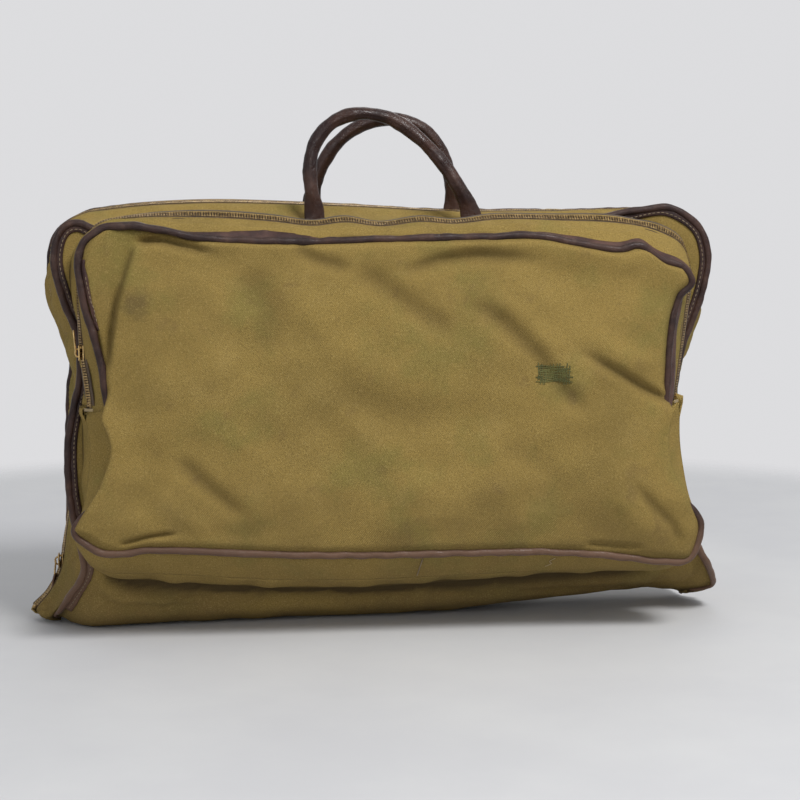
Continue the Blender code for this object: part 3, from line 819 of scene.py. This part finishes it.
def face_sheet():
    """The pocket's front, from its binding outward over the full pocket."""
    c = np.cumsum((0,) + POCKET_COUNTS)
    left = np.concatenate([POCKET_EDGE[c[5] :], POCKET_EDGE[: c[1] + 1]])[::-1]
    right = POCKET_EDGE[c[2] : c[4] + 1]
    top, bottom = POCKET_EDGE[c[1] : c[2] + 1], POCKET_EDGE[c[4] : c[5] + 1][::-1]
    points = fill(left, right, top, bottom)
    rows, columns = points.shape[:2]
    x, z = points[..., 0], points[..., 2]
    sides = np.minimum(np.arange(columns), np.arange(columns)[::-1])[None, :] * FACE_GRID + 0 * x
    border = from_border(rows, columns, FACE_GRID)
    edge_lift = smooth(border / (12 * MM)) * 6 * MM
    pillow = smooth(border / (75 * MM)) * 10 * MM * np.exp(-(((z - 0.17) / 0.15) ** 2))
    height = edge_lift + pillow
    height += ledge(x, z, FACE_LEDGE, 9.0, 2.5)
    # Painted shade on the pocket front's lower part: blotchy, and darker towards the bottom.
    lower_face_shade = 0.22 * smooth((0.19 - z) / 0.10) * (1 + 0.5 * ripple(points, 55 * MM, 31))
    shade_and_grime = np.maximum(seam_shade_and_grime(border), lower_face_shade)
    for line, depth, width in FACE_CREASES:
        fold = crease(x, z, line, depth, width)
        height += fold
        # Painted shade darkens the cloth along each valley.
        shade_and_grime = np.maximum(shade_and_grime, -0.085 * fold / MM)
    height += ripple(points, 150 * MM, 21, (1.2, 1, 0.8)) * 2.6 * MM * smooth(border / (40 * MM))
    folded = 0.7 - np.abs(ripple(points, 120 * MM, 23, (1.3, 1, 1.0)))
    height += folded * 1.8 * MM * smooth(border / (40 * MM))
    height += ripple(points, 48 * MM, 22, (1.3, 1, 0.9)) * 0.7 * MM * smooth(border / (20 * MM))
    points = points + np.array((0.0, -1.0, 0.0)) * height[..., None]
    roll = smooth(sides / (7 * MM)) * np.exp(-((np.maximum(sides - 8 * MM, 0) / (16 * MM)) ** 2))
    over = roll * smooth((0.225 - z) / 0.03) * smooth((z - 0.095) / 0.03)
    points[..., 0] += np.where(np.arange(columns) < columns / 2, -1.0, 1.0) * over * 12 * MM
    points[..., 1] -= over * 4 * MM
    return points, face_canvas, shade_and_grime


def strip(first, last, steps, puff, closed, seed, wrinkle, settles=False):
    """A band of cloth between two curves, puffed outward between them."""
    v = np.linspace(0, 1, steps)[None, :, None]
    points = first[:, None] * (1 - v) + last[:, None] * v
    out = outward((first + last) / 2, closed)[:, None]
    swell = np.sin(pi * v) * puff * MM
    rough = ripple(points, 34 * MM, seed, (1, 2.2, 1)) * wrinkle * MM
    hold = np.sin(pi * v[..., 0]) ** 0.6
    points = points + out * (swell + (rough * hold)[..., None])
    if not settles:
        return points
    free = smooth(np.minimum(v[..., 0], 1 - v[..., 0]) / 0.2) + 0 * points[..., 0]
    return settle(points, free, 0.05, 1.0, 6 * MM)


def from_columns(points, first, last):
    """Distance of each point from the sheet's first and last columns, where these are seams."""
    step = np.linalg.norm(np.diff(points, axis=1), axis=2).mean(1)[:, None]
    index = np.arange(points.shape[1])[None, :]
    far = np.full(points.shape[:2], 1.0)
    if first:
        far = np.minimum(far, index * step)
    if last:
        far = np.minimum(far, index[:, ::-1] * step)
    return far


def sheet_piece(name, points, surface, shade_and_grime, closed=False):
    """One layer of canvas, which remembers where it is painted darker (0 to 1): dirt and painted shade at seams,
    painted shade in creases and grooves.
    """
    build = Build()
    build.grid(points[:, ::-1], wrap_rows=closed)
    piece = build.piece(name, surface)
    layer = piece.data.attributes.new("shade_and_grime", "FLOAT", "POINT")
    layer.data.foreach_set("value", np.clip(shade_and_grime[:, ::-1], 0, 1).ravel())
    return thicken(piece, CANVAS)


# Darkening towards a seam, 1 at the seam: partly dirt, partly painted shade where the cloth tucks under the
# binding.
def seam_shade_and_grime(distance):
    return smooth(1 - distance / SEAM_REACH)


# ---- assembling the soft shell ------------------------------------------------------------------

outer_cloth = sheet_piece("outer_cloth", *body_sheet())
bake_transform(outer_cloth)
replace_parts(outer_cloth, "front_panel", "front_fold_panel", "rear_panel", "rear_fold_panel")

zip_front, zip_rear = MAIN_ZIP - ZIP_HALF_GAP * MAIN_LEAN, MAIN_ZIP + ZIP_HALF_GAP * MAIN_LEAN
front_band = strip(FRONT_EDGE, zip_front, 20, 2.5, False, 31, 1.1, True)
# Both side bands darken towards their seams: dirt and painted shade.
front_side = sheet_piece("front_side_cloth", front_band, canvas, seam_shade_and_grime(from_columns(front_band, 1, 0)))
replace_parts(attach(front_side, "front_half"), "front_gusset")
rear_band = strip(zip_rear, REAR_EDGE, 20, 1.5, False, 32, 0.8, True)
rear_side = sheet_piece("rear_side_cloth", rear_band, canvas, seam_shade_and_grime(from_columns(rear_band, 0, 1)))
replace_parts(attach(rear_side, "rear_half"), "rear_gusset")

face_cloth = sheet_piece("pocket_face_cloth", *face_sheet())
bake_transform(face_cloth)
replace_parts(face_cloth, "pocket_lower_panel", "flap_panel")

middle_front = POCKET_MIDDLE - POCKET_OPENING
middle_rear = POCKET_MIDDLE + POCKET_OPENING
flap_side = strip(POCKET_EDGE, middle_front, 15, 1.0, True, 41, 0.9)
# The flap's side is folded over the zip's tape, which shows as a ridge along the top.
ridge = np.exp(-(((np.linspace(0, 1, 15) - 0.46) / 0.11) ** 2))[None, :, None]
ridge = ridge * smooth((POCKET_EDGE[:, 2] - 0.325) / 0.015)[:, None, None]
flap_side += outward(POCKET_EDGE, True)[:, None] * ridge * 3.0 * MM
# The pocket's side cloths darken towards their seams: dirt and painted shade.
shade_and_grime = seam_shade_and_grime(from_columns(flap_side, 1, 0))
pocket_front_side = sheet_piece("pocket_front_side_cloth", flap_side, canvas, shade_and_grime, True)
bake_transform(pocket_front_side)
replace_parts(pocket_front_side, "flap_gusset")
pocket_side_rear = strip(middle_rear, POCKET_ROOT, 9, 1.0, True, 42, 1.5)
shade_and_grime = seam_shade_and_grime(from_columns(pocket_side_rear, 0, 1))
pocket_back_side = sheet_piece("pocket_back_side_cloth", pocket_side_rear, canvas, shade_and_grime, True)
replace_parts(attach(pocket_back_side, "front_half"), "pocket_lower_gusset", "pocket_top_gusset")


# ---- leather binding ----------------------------------------------------------------------------


def cord(build, path, closed, seed):
    """The leather-covered cord: round, with slight dents and a wander."""
    wobble = ripple(path, 26 * MM, seed)[:, None] * 0.35 * MM
    dents = 1 + 0.07 * ripple(path, 14 * MM, seed + 1)
    if not closed:
        steps = np.arange(len(path))
        dents *= 0.4 + 0.6 * smooth(np.minimum(steps, steps[::-1]) / 16)
    moved = path + outward(path, closed) * wobble
    build.tube(moved, CORD_RADIUS * dents, 12, closed)


def welt(build, path, sideways, outside, surface, start, width, closed, lift=0.4 * MM):
    """A flat strip of the binding that lies on the cloth beside the cord."""
    steps = np.linspace(0, 1, 5)
    width = np.broadcast_to(width, len(path))[:, None]
    across = start + (width - start) * steps[None, :]
    places = path[:, None] + sideways[:, None] * across[..., None] + outside[:, None] * OUTSIDE
    laid = lay_on(surface, places, lift)
    top = lay_on(surface, places, lift + LEATHER)
    top[:, -1] += (laid[:, -1] - top[:, -1]) * 0.45
    loop = np.concatenate([laid, top[:, ::-1]], axis=1)
    first = build.count
    build.grid(loop, wrap_rows=closed, wrap_columns=True)
    around = loop.shape[1]
    if not closed:
        last = first + (len(path) - 1) * around
        build.faces.append(tuple(range(first + around - 1, first - 1, -1)))
        build.faces.append(tuple(range(last, last + around)))


def stitch_row(build, path, sideways, outside, surface, offset, closed, radius=0.42 * MM):
    """Short threads laid along the binding."""
    spacing, length = 4.1 * MM, 2.7 * MM
    line = lay_on(surface, path + sideways * offset + outside * OUTSIDE, 0.4 * MM + LEATHER + 0.2 * MM)
    if closed:
        line = np.concatenate([line, line[:1]])
    distance = np.insert(np.linalg.norm(np.diff(line, axis=0), axis=1).cumsum(), 0, 0)
    for middle in np.arange(spacing, distance[-1] - spacing, spacing):
        places = middle + np.linspace(-0.5, 0.5, 5) * length
        points = np.stack([np.interp(places, distance, line[:, k]) for k in range(3)], 1)
        build.tube(points, radius * np.array((0.45, 0.9, 1.0, 0.9, 0.45)), 6)


outer_surface = surface_of(outer_cloth)
face_surface = surface_of(face_cloth)
pocket_side_surface = surface_of(pocket_front_side)

for half, edge, facing in (("front", FRONT_EDGE, 1), ("rear", REAR_EDGE, -1)):
    path = edge[1:-1]
    out = outward(path)
    outside = facing * unit(np.cross(directions(path), out))
    binding = Build()
    cord(binding, path, False, 51)
    flat = slice(10, -10)
    welt(binding, path[flat], -out[flat], outside[flat], outer_surface, 1.5 * MM, 7.5 * MM, False)
    piece = binding.piece(f"{half}_edge_binding", leather)
    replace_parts(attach(piece, f"{half}_half"), f"{half}_piping")
    seam = Build()
    stitch_row(seam, path[flat], -out[flat], outside[flat], outer_surface, 5.0 * MM, False)
    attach(seam.piece(f"{half}_edge_stitches", thread), f"{half}_half")

out = outward(POCKET_EDGE, True)
outside = unit(np.cross(directions(POCKET_EDGE, True), out))
binding = Build()
cord(binding, POCKET_EDGE, True, 61)
pocket_binding = binding.piece("pocket_edge_binding", leather)
welts, seam = Build(), Build()
places = POCKET_EDGE / MM
on_arch = np.arange(len(POCKET_EDGE)) < sum(POCKET_COUNTS[:3])


def run_of(chosen):
    found = np.flatnonzero(chosen)
    return slice(found[0], found[-1] + 1)


# On the left the flat strip lies on the pocket's front; on the top and the right it lies on the flap's side.
left_run = run_of((places[:, 0] < -200) & (places[:, 2] < 338) & on_arch & (places[:, 2] > 272))
width = np.interp(places[left_run, 2], (272, 290, 312, 338), (1.0, 5.0, 7.5, 2.2)) * MM
welt(welts, POCKET_EDGE[left_run], -out[left_run], outside[left_run], face_surface, -1 * MM, width, False)
stitch_run = run_of((places[:, 0] < -200) & (places[:, 2] < 326) & on_arch & (places[:, 2] > 276))
path = POCKET_EDGE[stitch_run]
stitch_row(seam, path, -out[stitch_run], outside[stitch_run], face_surface, 4.2 * MM, False)
slope = POCKET_LEAN
above = unit(np.cross(directions(POCKET_ZIP), slope))
for low_x, high_x, widths in ((-184, -50, (0.8, 6, 9, 4, 0.8)), (66, 290, (1, 6, 7, 13, 3))):
    run = run_of((places[:, 0] > low_x) & (places[:, 0] < high_x) & on_arch)
    share = np.linspace(0, 1, run.stop - run.start)
    width = np.interp(share, (0.0, 0.3, 0.6, 0.9, 1.0), widths) * MM
    path = POCKET_EDGE[run]
    welt(welts, path, slope[run], above[run], pocket_side_surface, 0.5 * MM, width, False)
run = run_of((places[:, 0] > -122) & (places[:, 0] < 236) & (places[:, 2] > 325) & on_arch)
hem_line = lay_on(pocket_side_surface, POCKET_EDGE[run] + slope[run] * 9 * MM, 0.6 * MM)
share = np.linspace(0, 1, len(hem_line))
hem = Build()
hem.tube(hem_line, 1.5 * MM * np.clip(12 * np.minimum(share, 1 - share), 0.2, 1), 8)
hem_piece = hem.piece("flap_hem", canvas)
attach(hem_piece, "pocket_flap")
pocket_welts = welts.piece("pocket_edge_welts", welt_leather)
pocket_seam = seam.piece("pocket_edge_stitches", thread)
for piece, slot in ((pocket_binding, "leather"), (pocket_welts, "leather"), (pocket_seam, "cord")):
    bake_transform(piece)
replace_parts(pocket_binding, "pocket_lower_piping", "flap_piping")


# ---- zips ---------------------------------------------------------------------------------------


def zip_row(name, path, lean, side, drop):
    """Teeth and tape on one side (-1 in front, 1 behind) of a zip's line."""
    across, out = side * lean, unit(np.cross(directions(path), lean))
    distance = np.insert(np.linalg.norm(np.diff(path, axis=0), axis=1).cumsum(), 0, 0)
    start = TOOTH_PITCH * (0.5 if side < 0 else 1.0)
    places = np.arange(start, distance[-1], TOOTH_PITCH)

    def at(values):
        return np.stack([np.interp(places, distance, values[:, k]) for k in range(3)], 1)

    sides, tangents, up = unit(at(across)), unit(at(directions(path))), unit(at(out))
    centres = at(path) + sides * 0.9 * MM - up * drop
    teeth = Build()
    teeth.boxes(centres, (tangents, sides, up), (1.25 * MM, 3.0 * MM, 1.7 * MM))
    teeth.boxes(centres + sides * 1.6 * MM, (tangents, sides, up), (1.6 * MM, 1.2 * MM, 2.1 * MM))
    teeth_piece = teeth.piece(f"{name}_teeth", old_brass, False)
    steps = np.linspace(0.9 * MM, TAPE_REACH, 4)[None, :, None]
    rows = path[:, None] + across[:, None] * steps - out[:, None] * (drop + 0.5 * MM)
    band = Build()
    band.grid(rows[:, ::-1] if side < 0 else rows)
    band_piece = thicken(band.piece(f"{name}_tape", tape), 0.7 * MM)
    bead = Build()
    bead.tube(path + across * 2.6 * MM - out * drop, 0.85 * MM, 8)
    bead_piece = bead.piece(f"{name}_bead", tape)
    return teeth_piece, band_piece, bead_piece


trim = int(0.30 * SIDE_STEPS) // 4
for half, side in (("front", -1), ("rear", 1)):
    run, lean = MAIN_ZIP[trim:-trim], MAIN_LEAN[trim:-trim]
    teeth_piece, band_piece, bead_piece = zip_row(f"{half}_zip", run, lean, side, 0.6 * MM)
    for piece in (teeth_piece, band_piece, bead_piece):
        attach(piece, f"{half}_half")
    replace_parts(teeth_piece, f"{half}_zip_teeth")
    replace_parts(band_piece, f"{half}_zip_tape")

# Below its slider the pocket's zip is open, and the flap's row hangs forward.
slider_z = (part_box("pocket_slider")[0].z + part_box("pocket_slider")[1].z) / 2
below = smooth((slider_z - POCKET_ZIP[:, 2]) / (22 * MM)) * (POCKET_ZIP[:, 0] < 0)
below *= smooth((POCKET_ZIP[:, 2] - FOLD_Z) / (14 * MM))
apart = below[:, None] * np.array((0.6, -4.0, 0.0)) * MM
teeth_piece, band_piece, bead_piece = zip_row("flap_zip", POCKET_ZIP + apart, POCKET_LEAN, -1, 0.5 * MM)
for piece in (teeth_piece, band_piece, bead_piece):
    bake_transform(piece)
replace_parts(teeth_piece, "flap_zip_teeth")
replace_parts(band_piece, "flap_zip_tape")
teeth_piece, band_piece, bead_piece = zip_row("pocket_zip", POCKET_ZIP, POCKET_LEAN, 1, 0.5 * MM)
for piece in (teeth_piece, band_piece, bead_piece):
    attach(piece, "front_half")
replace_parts(teeth_piece, "pocket_zip_teeth")
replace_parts(band_piece, "pocket_zip_tape")


# ---- sliders and pulls --------------------------------------------------------------------------


def rounded(obj, width=0.5 * MM, segments=2):
    bevel = obj.modifiers.new("edges", "BEVEL")
    bevel.width = width
    bevel.segments = segments
    bevel.limit_method = "ANGLE"
    return apply_modifiers(obj)


def slider_piece(name, middle, out, body, surface):
    """A slider whose plates narrow towards its tail, with a bridge for the pull."""
    along_z, across = np.array((0.0, 0.0, 1.0)), np.array((0.0, 1.0, 0.0))
    axes = (along_z, across, out)
    build = Build()
    for height, thick in ((1.7, 1.3), (-1.8, 1.2)):
        outline = []
        for dz, dy in ((-6.5, 2.6), (-3.0, 3.6), (2.5, 4.6), (6.5, 5.0), (6.5, -5.0), (2.5, -4.6), (-3.0, -3.6), (-6.5, -2.6)):
            outline.append(middle + along_z * dz * MM + across * dy * MM + out * height * MM)
        outline = np.array(outline)
        count = len(outline)
        faces = [tuple(range(count)), tuple(range(2 * count - 1, count - 1, -1))]
        for i in range(count):
            j = (i + 1) % count
            faces.append((j, i, i + count, j + count))
        build.add(np.concatenate([outline, outline + out * thick * MM]), faces)
    posts = middle + np.outer((4.6, 0.0), along_z) * MM
    build.boxes(posts[:1], axes, (2.0 * MM, 1.6 * MM, 4.0 * MM))
    bridge = [(-3.4, 2.8), (-3.0, 4.6), (-1.2, 5.7), (1.2, 5.7), (3.0, 4.6), (3.4, 2.8)]
    path = np.array([middle + along_z * dz * MM + out * height * MM for dz, height in bridge])
    build.tube(path, 0.85 * MM, 8)
    piece = rounded(build.piece(name, surface), 0.35 * MM)
    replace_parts(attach(piece, body), body)
    return piece


def pull_piece(name, pivot, out, turn, length, body, surface):
    """A wire loop on the slider's bridge, with a flat eye at its end. Turn is 1 for up, -1 for down."""
    up = np.array((0.0, 0.0, 1.0)) * turn
    across = np.array((0.0, 1.0, 0.0))
    ring = []
    for step in range(24):
        angle = 2 * pi * step / 24
        narrow = 2.0 + 1.1 * (0.5 - 0.5 * cos(angle))
        ring.append(pivot + up * (0.5 - 0.5 * cos(angle)) * length + across * narrow * sin(angle) * MM)
    lean = np.array([out * 1.6 * MM * ((p - pivot) @ up) / length for p in ring])
    build = Build()
    build.tube(np.array(ring) + lean, 0.75 * MM, 8, closed=True)
    neck = pivot + up * length * 0.52 + out * 0.9 * MM
    build.tube(np.stack([neck - across * 2.6 * MM, neck + across * 2.6 * MM]), 0.6 * MM, 8)
    piece = build.piece(name, surface)
    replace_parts(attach(piece, body), body)
    return piece


def zip_place(path, height):
    """The point of a zip's left leg at a height, and the way out from it."""
    leg = path[: len(path) // 3]
    nearest = int(np.argmin(np.abs(leg[:, 2] - height)))
    point = leg[nearest].copy()
    point[2] = height
    return point, np.array((-1.0, 0.0, 0.0))


point, out = zip_place(POCKET_ZIP, slider_z)
slider_piece("pocket_zip_slider", point, out, "pocket_slider", bright_brass)
pull_piece("pocket_zip_pull", point + out * 5.2 * MM, out, 1, 19 * MM, "pocket_pull", bright_brass)
main_slider_z = (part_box("main_slider")[0].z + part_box("main_slider")[1].z) / 2
point, out = zip_place(MAIN_ZIP, main_slider_z)
slider_piece("main_zip_slider", point, out, "main_slider", old_brass)
pull_piece("main_zip_pull", point + out * 5.2 * MM, out, -1, 15 * MM, "main_pull", old_brass)

# The thong hangs from the main pull and curls forward.
THONG = [(5.8, 0, -12), (7.2, 0, -17), (8.0, 1, -25), (7.6, 2, -33), (6.4, 4, -41)]
centre = np.array([point + np.array((-a, b, c)) * MM for a, b, c in THONG])
centre = along(centre, np.linspace(0, len(THONG) - 1, 24))
half_width = np.linspace(3.2, 5.2, 24)[:, None, None] * MM * np.array((0.15, 1.0, 0.0))
build = Build()
build.grid(centre[:, None] + half_width * np.linspace(-1, 1, 5)[None, :, None])
thong = rounded(thicken(build.piece("main_pull_leather", leather), 1.6 * MM, 0.0), 0.3 * MM, 1)
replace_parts(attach(thong, "main_pull"), "main_pull_thong")


# ---- handles ------------------------------------------------------------------------------------

# Each handle's middle line: place along the bag and height, from its left root to its right root.
FRONT_HANDLE = [
    (-55, 360), (-56, 376), (-58, 392), (-59, 412), (-55, 430), (-46, 444), (-31, 455),
    (-11, 459), (12, 455), (31, 444), (48, 429), (63, 411), (75, 392), (83, 376), (87, 362),
]
REAR_HANDLE = [
    (-51, 360), (-52, 376), (-50, 392), (-43, 412), (-31, 431), (-13, 446), (8, 454),
    (30, 454), (50, 446), (65, 430), (75, 408), (80, 382), (82, 362),
]


def handle(side, rows, seed):
    """A rolled leather grip that flattens into a root at each end."""
    low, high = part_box(f"{side}_handle_grip")
    y = (low.y + high.y) / 2
    radius = (high.y - low.y) / 2
    towards_zip = 1 if y < ZIP_Y else -1
    points = np.array([(x * MM, y, z * MM) for x, z in rows])
    path = along(points, np.linspace(0, len(rows) - 1, 150))
    top = path[:, 2].max()
    root_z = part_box(f"{side}_handle_tab_left")[0].z
    share = (path[:, 2] - root_z) / (top - root_z)
    path[:, 1] += towards_zip * smooth(share) * 9 * MM
    tangents = directions(path)
    flat = smooth((root_z + 20 * MM - path[:, 2]) / (26 * MM))
    deep = np.cross(tangents, (0.0, 1.0, 0.0))
    wide = radius * (1 + 0.06 * ripple(path, 30 * MM, seed)) * (1 + 0.5 * flat)
    thin = radius * (1 + 0.05 * ripple(path, 22 * MM, seed + 1)) * (1 - 0.62 * flat)
    turn = np.linspace(0, 2 * pi, 28, endpoint=False)
    seam = 1 + 0.10 * np.exp(-(((turn - 1.5 * pi) / 0.16) ** 2)) - 0.07 * np.exp(-(((turn - 1.36 * pi) / 0.1) ** 2))
    ring = np.cos(turn)[None, :, None] * deep[:, None] * wide[:, None, None]
    ring = ring + np.sin(turn)[None, :, None] * np.array((0.0, 1.0, 0.0)) * thin[:, None, None]
    rings = path[:, None] + ring * seam[None, :, None]
    rings += unit(ring) * (ripple(rings, 9 * MM, seed + 2) * 0.18 * MM)[..., None]
    build = Build()
    build.grid(rings[:, ::-1], wrap_columns=True)
    count = build.count
    build.faces.append(tuple(range(28)))
    build.faces.append(tuple(range(count - 1, count - 29, -1)))
    piece = build.piece(f"{side}_handle_leather", handle_leather)
    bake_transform(piece)
    tabs = (f"{side}_handle_tab_left", f"{side}_handle_tab_right")
    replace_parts(piece, f"{side}_handle_grip", f"{side}_handle_cord", *tabs)


handle("front", FRONT_HANDLE, 71)
handle("rear", REAR_HANDLE, 81)


# ---- pieces inside, and the zips' ends ----------------------------------------------------------

def above_cloth(x, y, gap):
    """The height of the bottom cloth's upper side, plus a gap."""
    place = outer_surface.ray_cast(Vector((x, y, 90 * MM)), Vector((0, 0, -1)))[0]
    return place.z + gap


for half in ("front", "rear"):
    low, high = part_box(f"{half}_bottom_board")
    near_y, far_y = sorted((low.y, high.y), key=lambda y: abs(y - ZIP_Y))
    rows = []
    for y in np.linspace(near_y, ZIP_Y + (far_y - ZIP_Y) * 0.55, 12):
        row = [(x, y, above_cloth(x, y, 3 * MM)) for x in np.linspace(low.x + 0.02, high.x - 0.02, 70)]
        rows.append(row)
    build = Build()
    build.grid(np.array(rows))
    board = thicken(build.piece(f"{half}_bottom_stiffener", fibreboard), 2.4 * MM, 0.0)
    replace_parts(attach(board, f"{half}_half"), f"{half}_bottom_board")

for side, index in (("left", 0), ("right", -1)):
    build = Build()
    end, across = POCKET_ZIP[index], POCKET_LEAN[index]
    away = unit(np.cross(directions(POCKET_ZIP)[index], across))
    for row in range(3):
        base = end + away * 1.6 * MM + np.array((0.0, 0.0, (row * 0.8 - 2.0) * MM))
        ends = [base + across * dy * MM + away * (1 - abs(dy) / 7) * 0.6 * MM for dy in (-7, -3.5, 0, 3.5, 7)]
        build.tube(np.array(ends), 0.55 * MM, 6)
    tack = build.piece(f"pocket_zip_tack_{side}", pale_thread)
    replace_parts(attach(tack, "front_half"), f"pocket_zip_stop_{side}")

for side, index in (("left", trim), ("right", -trim - 1)):
    build = Build()
    end = MAIN_ZIP[index]
    away = np.array((-1.0 if side == "left" else 1.0, 0.0, 0.0))
    axes = (np.array((0.0, 0.0, 1.0)), np.array((0.0, 1.0, 0.0)), away)
    build.boxes((end + away * 0.4 * MM)[None], axes, (3.0 * MM, 7.0 * MM, 2.6 * MM))
    stop = rounded(build.piece(f"main_zip_end_{side}", old_brass), 0.6 * MM)
    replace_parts(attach(stop, "rear_half"), f"main_zip_stop_{side}")



def press_back(surface, points, lift):
    """Moves points straight back, along +Y, to lie on a surface."""
    hits = (surface.ray_cast(Vector(point), Vector((0, 1, 0))) for point in points)
    return np.array([place - normal * np.sign(normal.y) * lift for place, normal, _, _ in hits])


def laid_threads(name, lines, surface, material, radius, lay=lay_on):
    """Threads through the points of each line, laid on a surface."""
    build = Build()
    for line in lines:
        places = along(np.array(line, float) * MM, np.linspace(0, len(line) - 1, 6 * len(line)))
        build.tube(lay(surface, places, radius), radius, 6)
    piece = build.piece(name, material)
    return piece


draw = np.random.default_rng(91)
darn = []
for height in np.arange(227.5, 241.5, 1.3):
    ends = 130 + draw.uniform(-3, 3), 157 + draw.uniform(-4, 4)
    darn.append([(x, -118, height + draw.uniform(-0.5, 0.5)) for x in np.linspace(*ends, 5)])
for x in np.arange(131, 158, 1.9):
    ends = 227 + draw.uniform(-3, 2.5), 241 + draw.uniform(-3, 3)
    darn.append([(x + draw.uniform(-0.6, 0.6), -118, height) for height in np.linspace(*ends, 4)])
patch = laid_threads("darned_patch", darn, face_surface, darn_thread, 0.4 * MM, press_back)
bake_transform(patch)
loose_lines = [[(151, -84, 66), (147, -80, 61), (149, -78, 56), (145, -75, 52)]]
loose = laid_threads("loose_thread", loose_lines, pocket_side_surface, pale_thread, 0.4 * MM)
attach(loose, "front_half")
seam_line = [[(32, -88, 70), (31, -78, 62), (30, -66, 52)]]
gusset_seam = laid_threads("pocket_side_seam", seam_line, pocket_side_surface, thread, 0.5 * MM)
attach(gusset_seam, "front_half")

INSIDE = {"garment_strap": webbing, "strap_buckle": old_brass, "hanger_hook": old_brass}
for name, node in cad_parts.items():
    for start, surface in INSIDE.items():
        if name.startswith(start):
            node.data.materials.clear()
            node.data.materials.append(surface)


# ---- floor, light and camera --------------------------------------------------------------------

def floor_material():
    """Pale and even, fading out at the rim so that no far edge shows."""
    made = Shader("pale_floor", roughness=0.75)
    tone = made.mix(made.ramp(made.noise(3.0, 6.0, 0.6), 0.3, 0.7), (0.53, 0.53, 0.54), (0.58, 0.58, 0.58))
    far = made.add("VectorMath", {0: made.rest}, operation="LENGTH").outputs["Value"]
    alpha = made.ramp(far, 0.80 * FLOOR_REACH, 0.98 * FLOOR_REACH, 1.0, 0.0)
    return made.finish(**{"Base Color": tone, "Alpha": alpha})


FLOOR_REACH = 1.1
floor_mesh = bpy.data.meshes.new("floor")
turns = np.linspace(0, 2 * pi, 64, endpoint=False)
rim = [(FLOOR_REACH * cos(turn), FLOOR_REACH * sin(turn), 0.0) for turn in turns]
floor_mesh.from_pydata(rim, [], [tuple(range(64))])
floor_mesh.materials.append(floor_material())
floor = bpy.data.objects.new("floor", floor_mesh)
bpy.context.scene.collection.objects.link(floor)
remember_rest(floor)


def studio_world():
    """A pale backdrop to the eye, and a softer, dimmer light on the object."""
    world = bpy.data.worlds.new("studio")
    world.use_nodes = True
    tree = world.node_tree
    glow = tree.nodes["Background"]
    glow.inputs["Color"].default_value = (0.86, 0.88, 0.92, 1.0)
    glow.inputs["Strength"].default_value = 0.55
    backdrop = tree.nodes.new("ShaderNodeBackground")
    backdrop.inputs["Color"].default_value = (0.72, 0.72, 0.735, 1.0)
    backdrop.inputs["Strength"].default_value = 1.0
    ray = tree.nodes.new("ShaderNodeLightPath")
    mix = tree.nodes.new("ShaderNodeMixShader")
    tree.links.new(ray.outputs["Is Camera Ray"], mix.inputs[0])
    tree.links.new(glow.outputs[0], mix.inputs[1])
    tree.links.new(backdrop.outputs[0], mix.inputs[2])
    tree.links.new(mix.outputs[0], tree.nodes["World Output"].inputs["Surface"])
    bpy.context.scene.world = world


studio_world()


def softbox(name, place, aim, size, power):
    light = bpy.data.lights.new(name, "AREA")
    light.shape = "RECTANGLE"
    light.size, light.size_y = size
    light.energy = power
    lamp = bpy.data.objects.new(name, light)
    lamp.location = place
    lamp.rotation_euler = (Vector(aim) - Vector(place)).to_track_quat("-Z", "Y").to_euler()
    bpy.context.scene.collection.objects.link(lamp)


middle = (0.0, 0.0, 0.2)
softbox("key", (0.9, -1.6, 2.4), middle, (1.0, 0.8), 68.0)
softbox("fill", (-1.6, -2.2, 1.2), middle, (1.6, 1.6), 12.0)
softbox("back", (0.6, 2.2, 2.0), middle, (2.0, 1.2), 10.0)
bpy.context.scene.view_settings.view_transform = "Standard"

YAW, PITCH, DISTANCE = radians(7.0), radians(7.0), 1.8
TARGET = Vector((0.0227, 0.0, 0.201))
camera_data = bpy.data.cameras.new("camera")
camera_data.lens = 89.0
camera = bpy.data.objects.new("camera", camera_data)
sight = Vector((sin(YAW) * cos(PITCH), cos(YAW) * cos(PITCH), -sin(PITCH)))
camera.location = TARGET - sight * DISTANCE
camera.rotation_euler = sight.to_track_quat("-Z", "Y").to_euler()
bpy.context.scene.collection.objects.link(camera)
bpy.context.scene.camera = camera
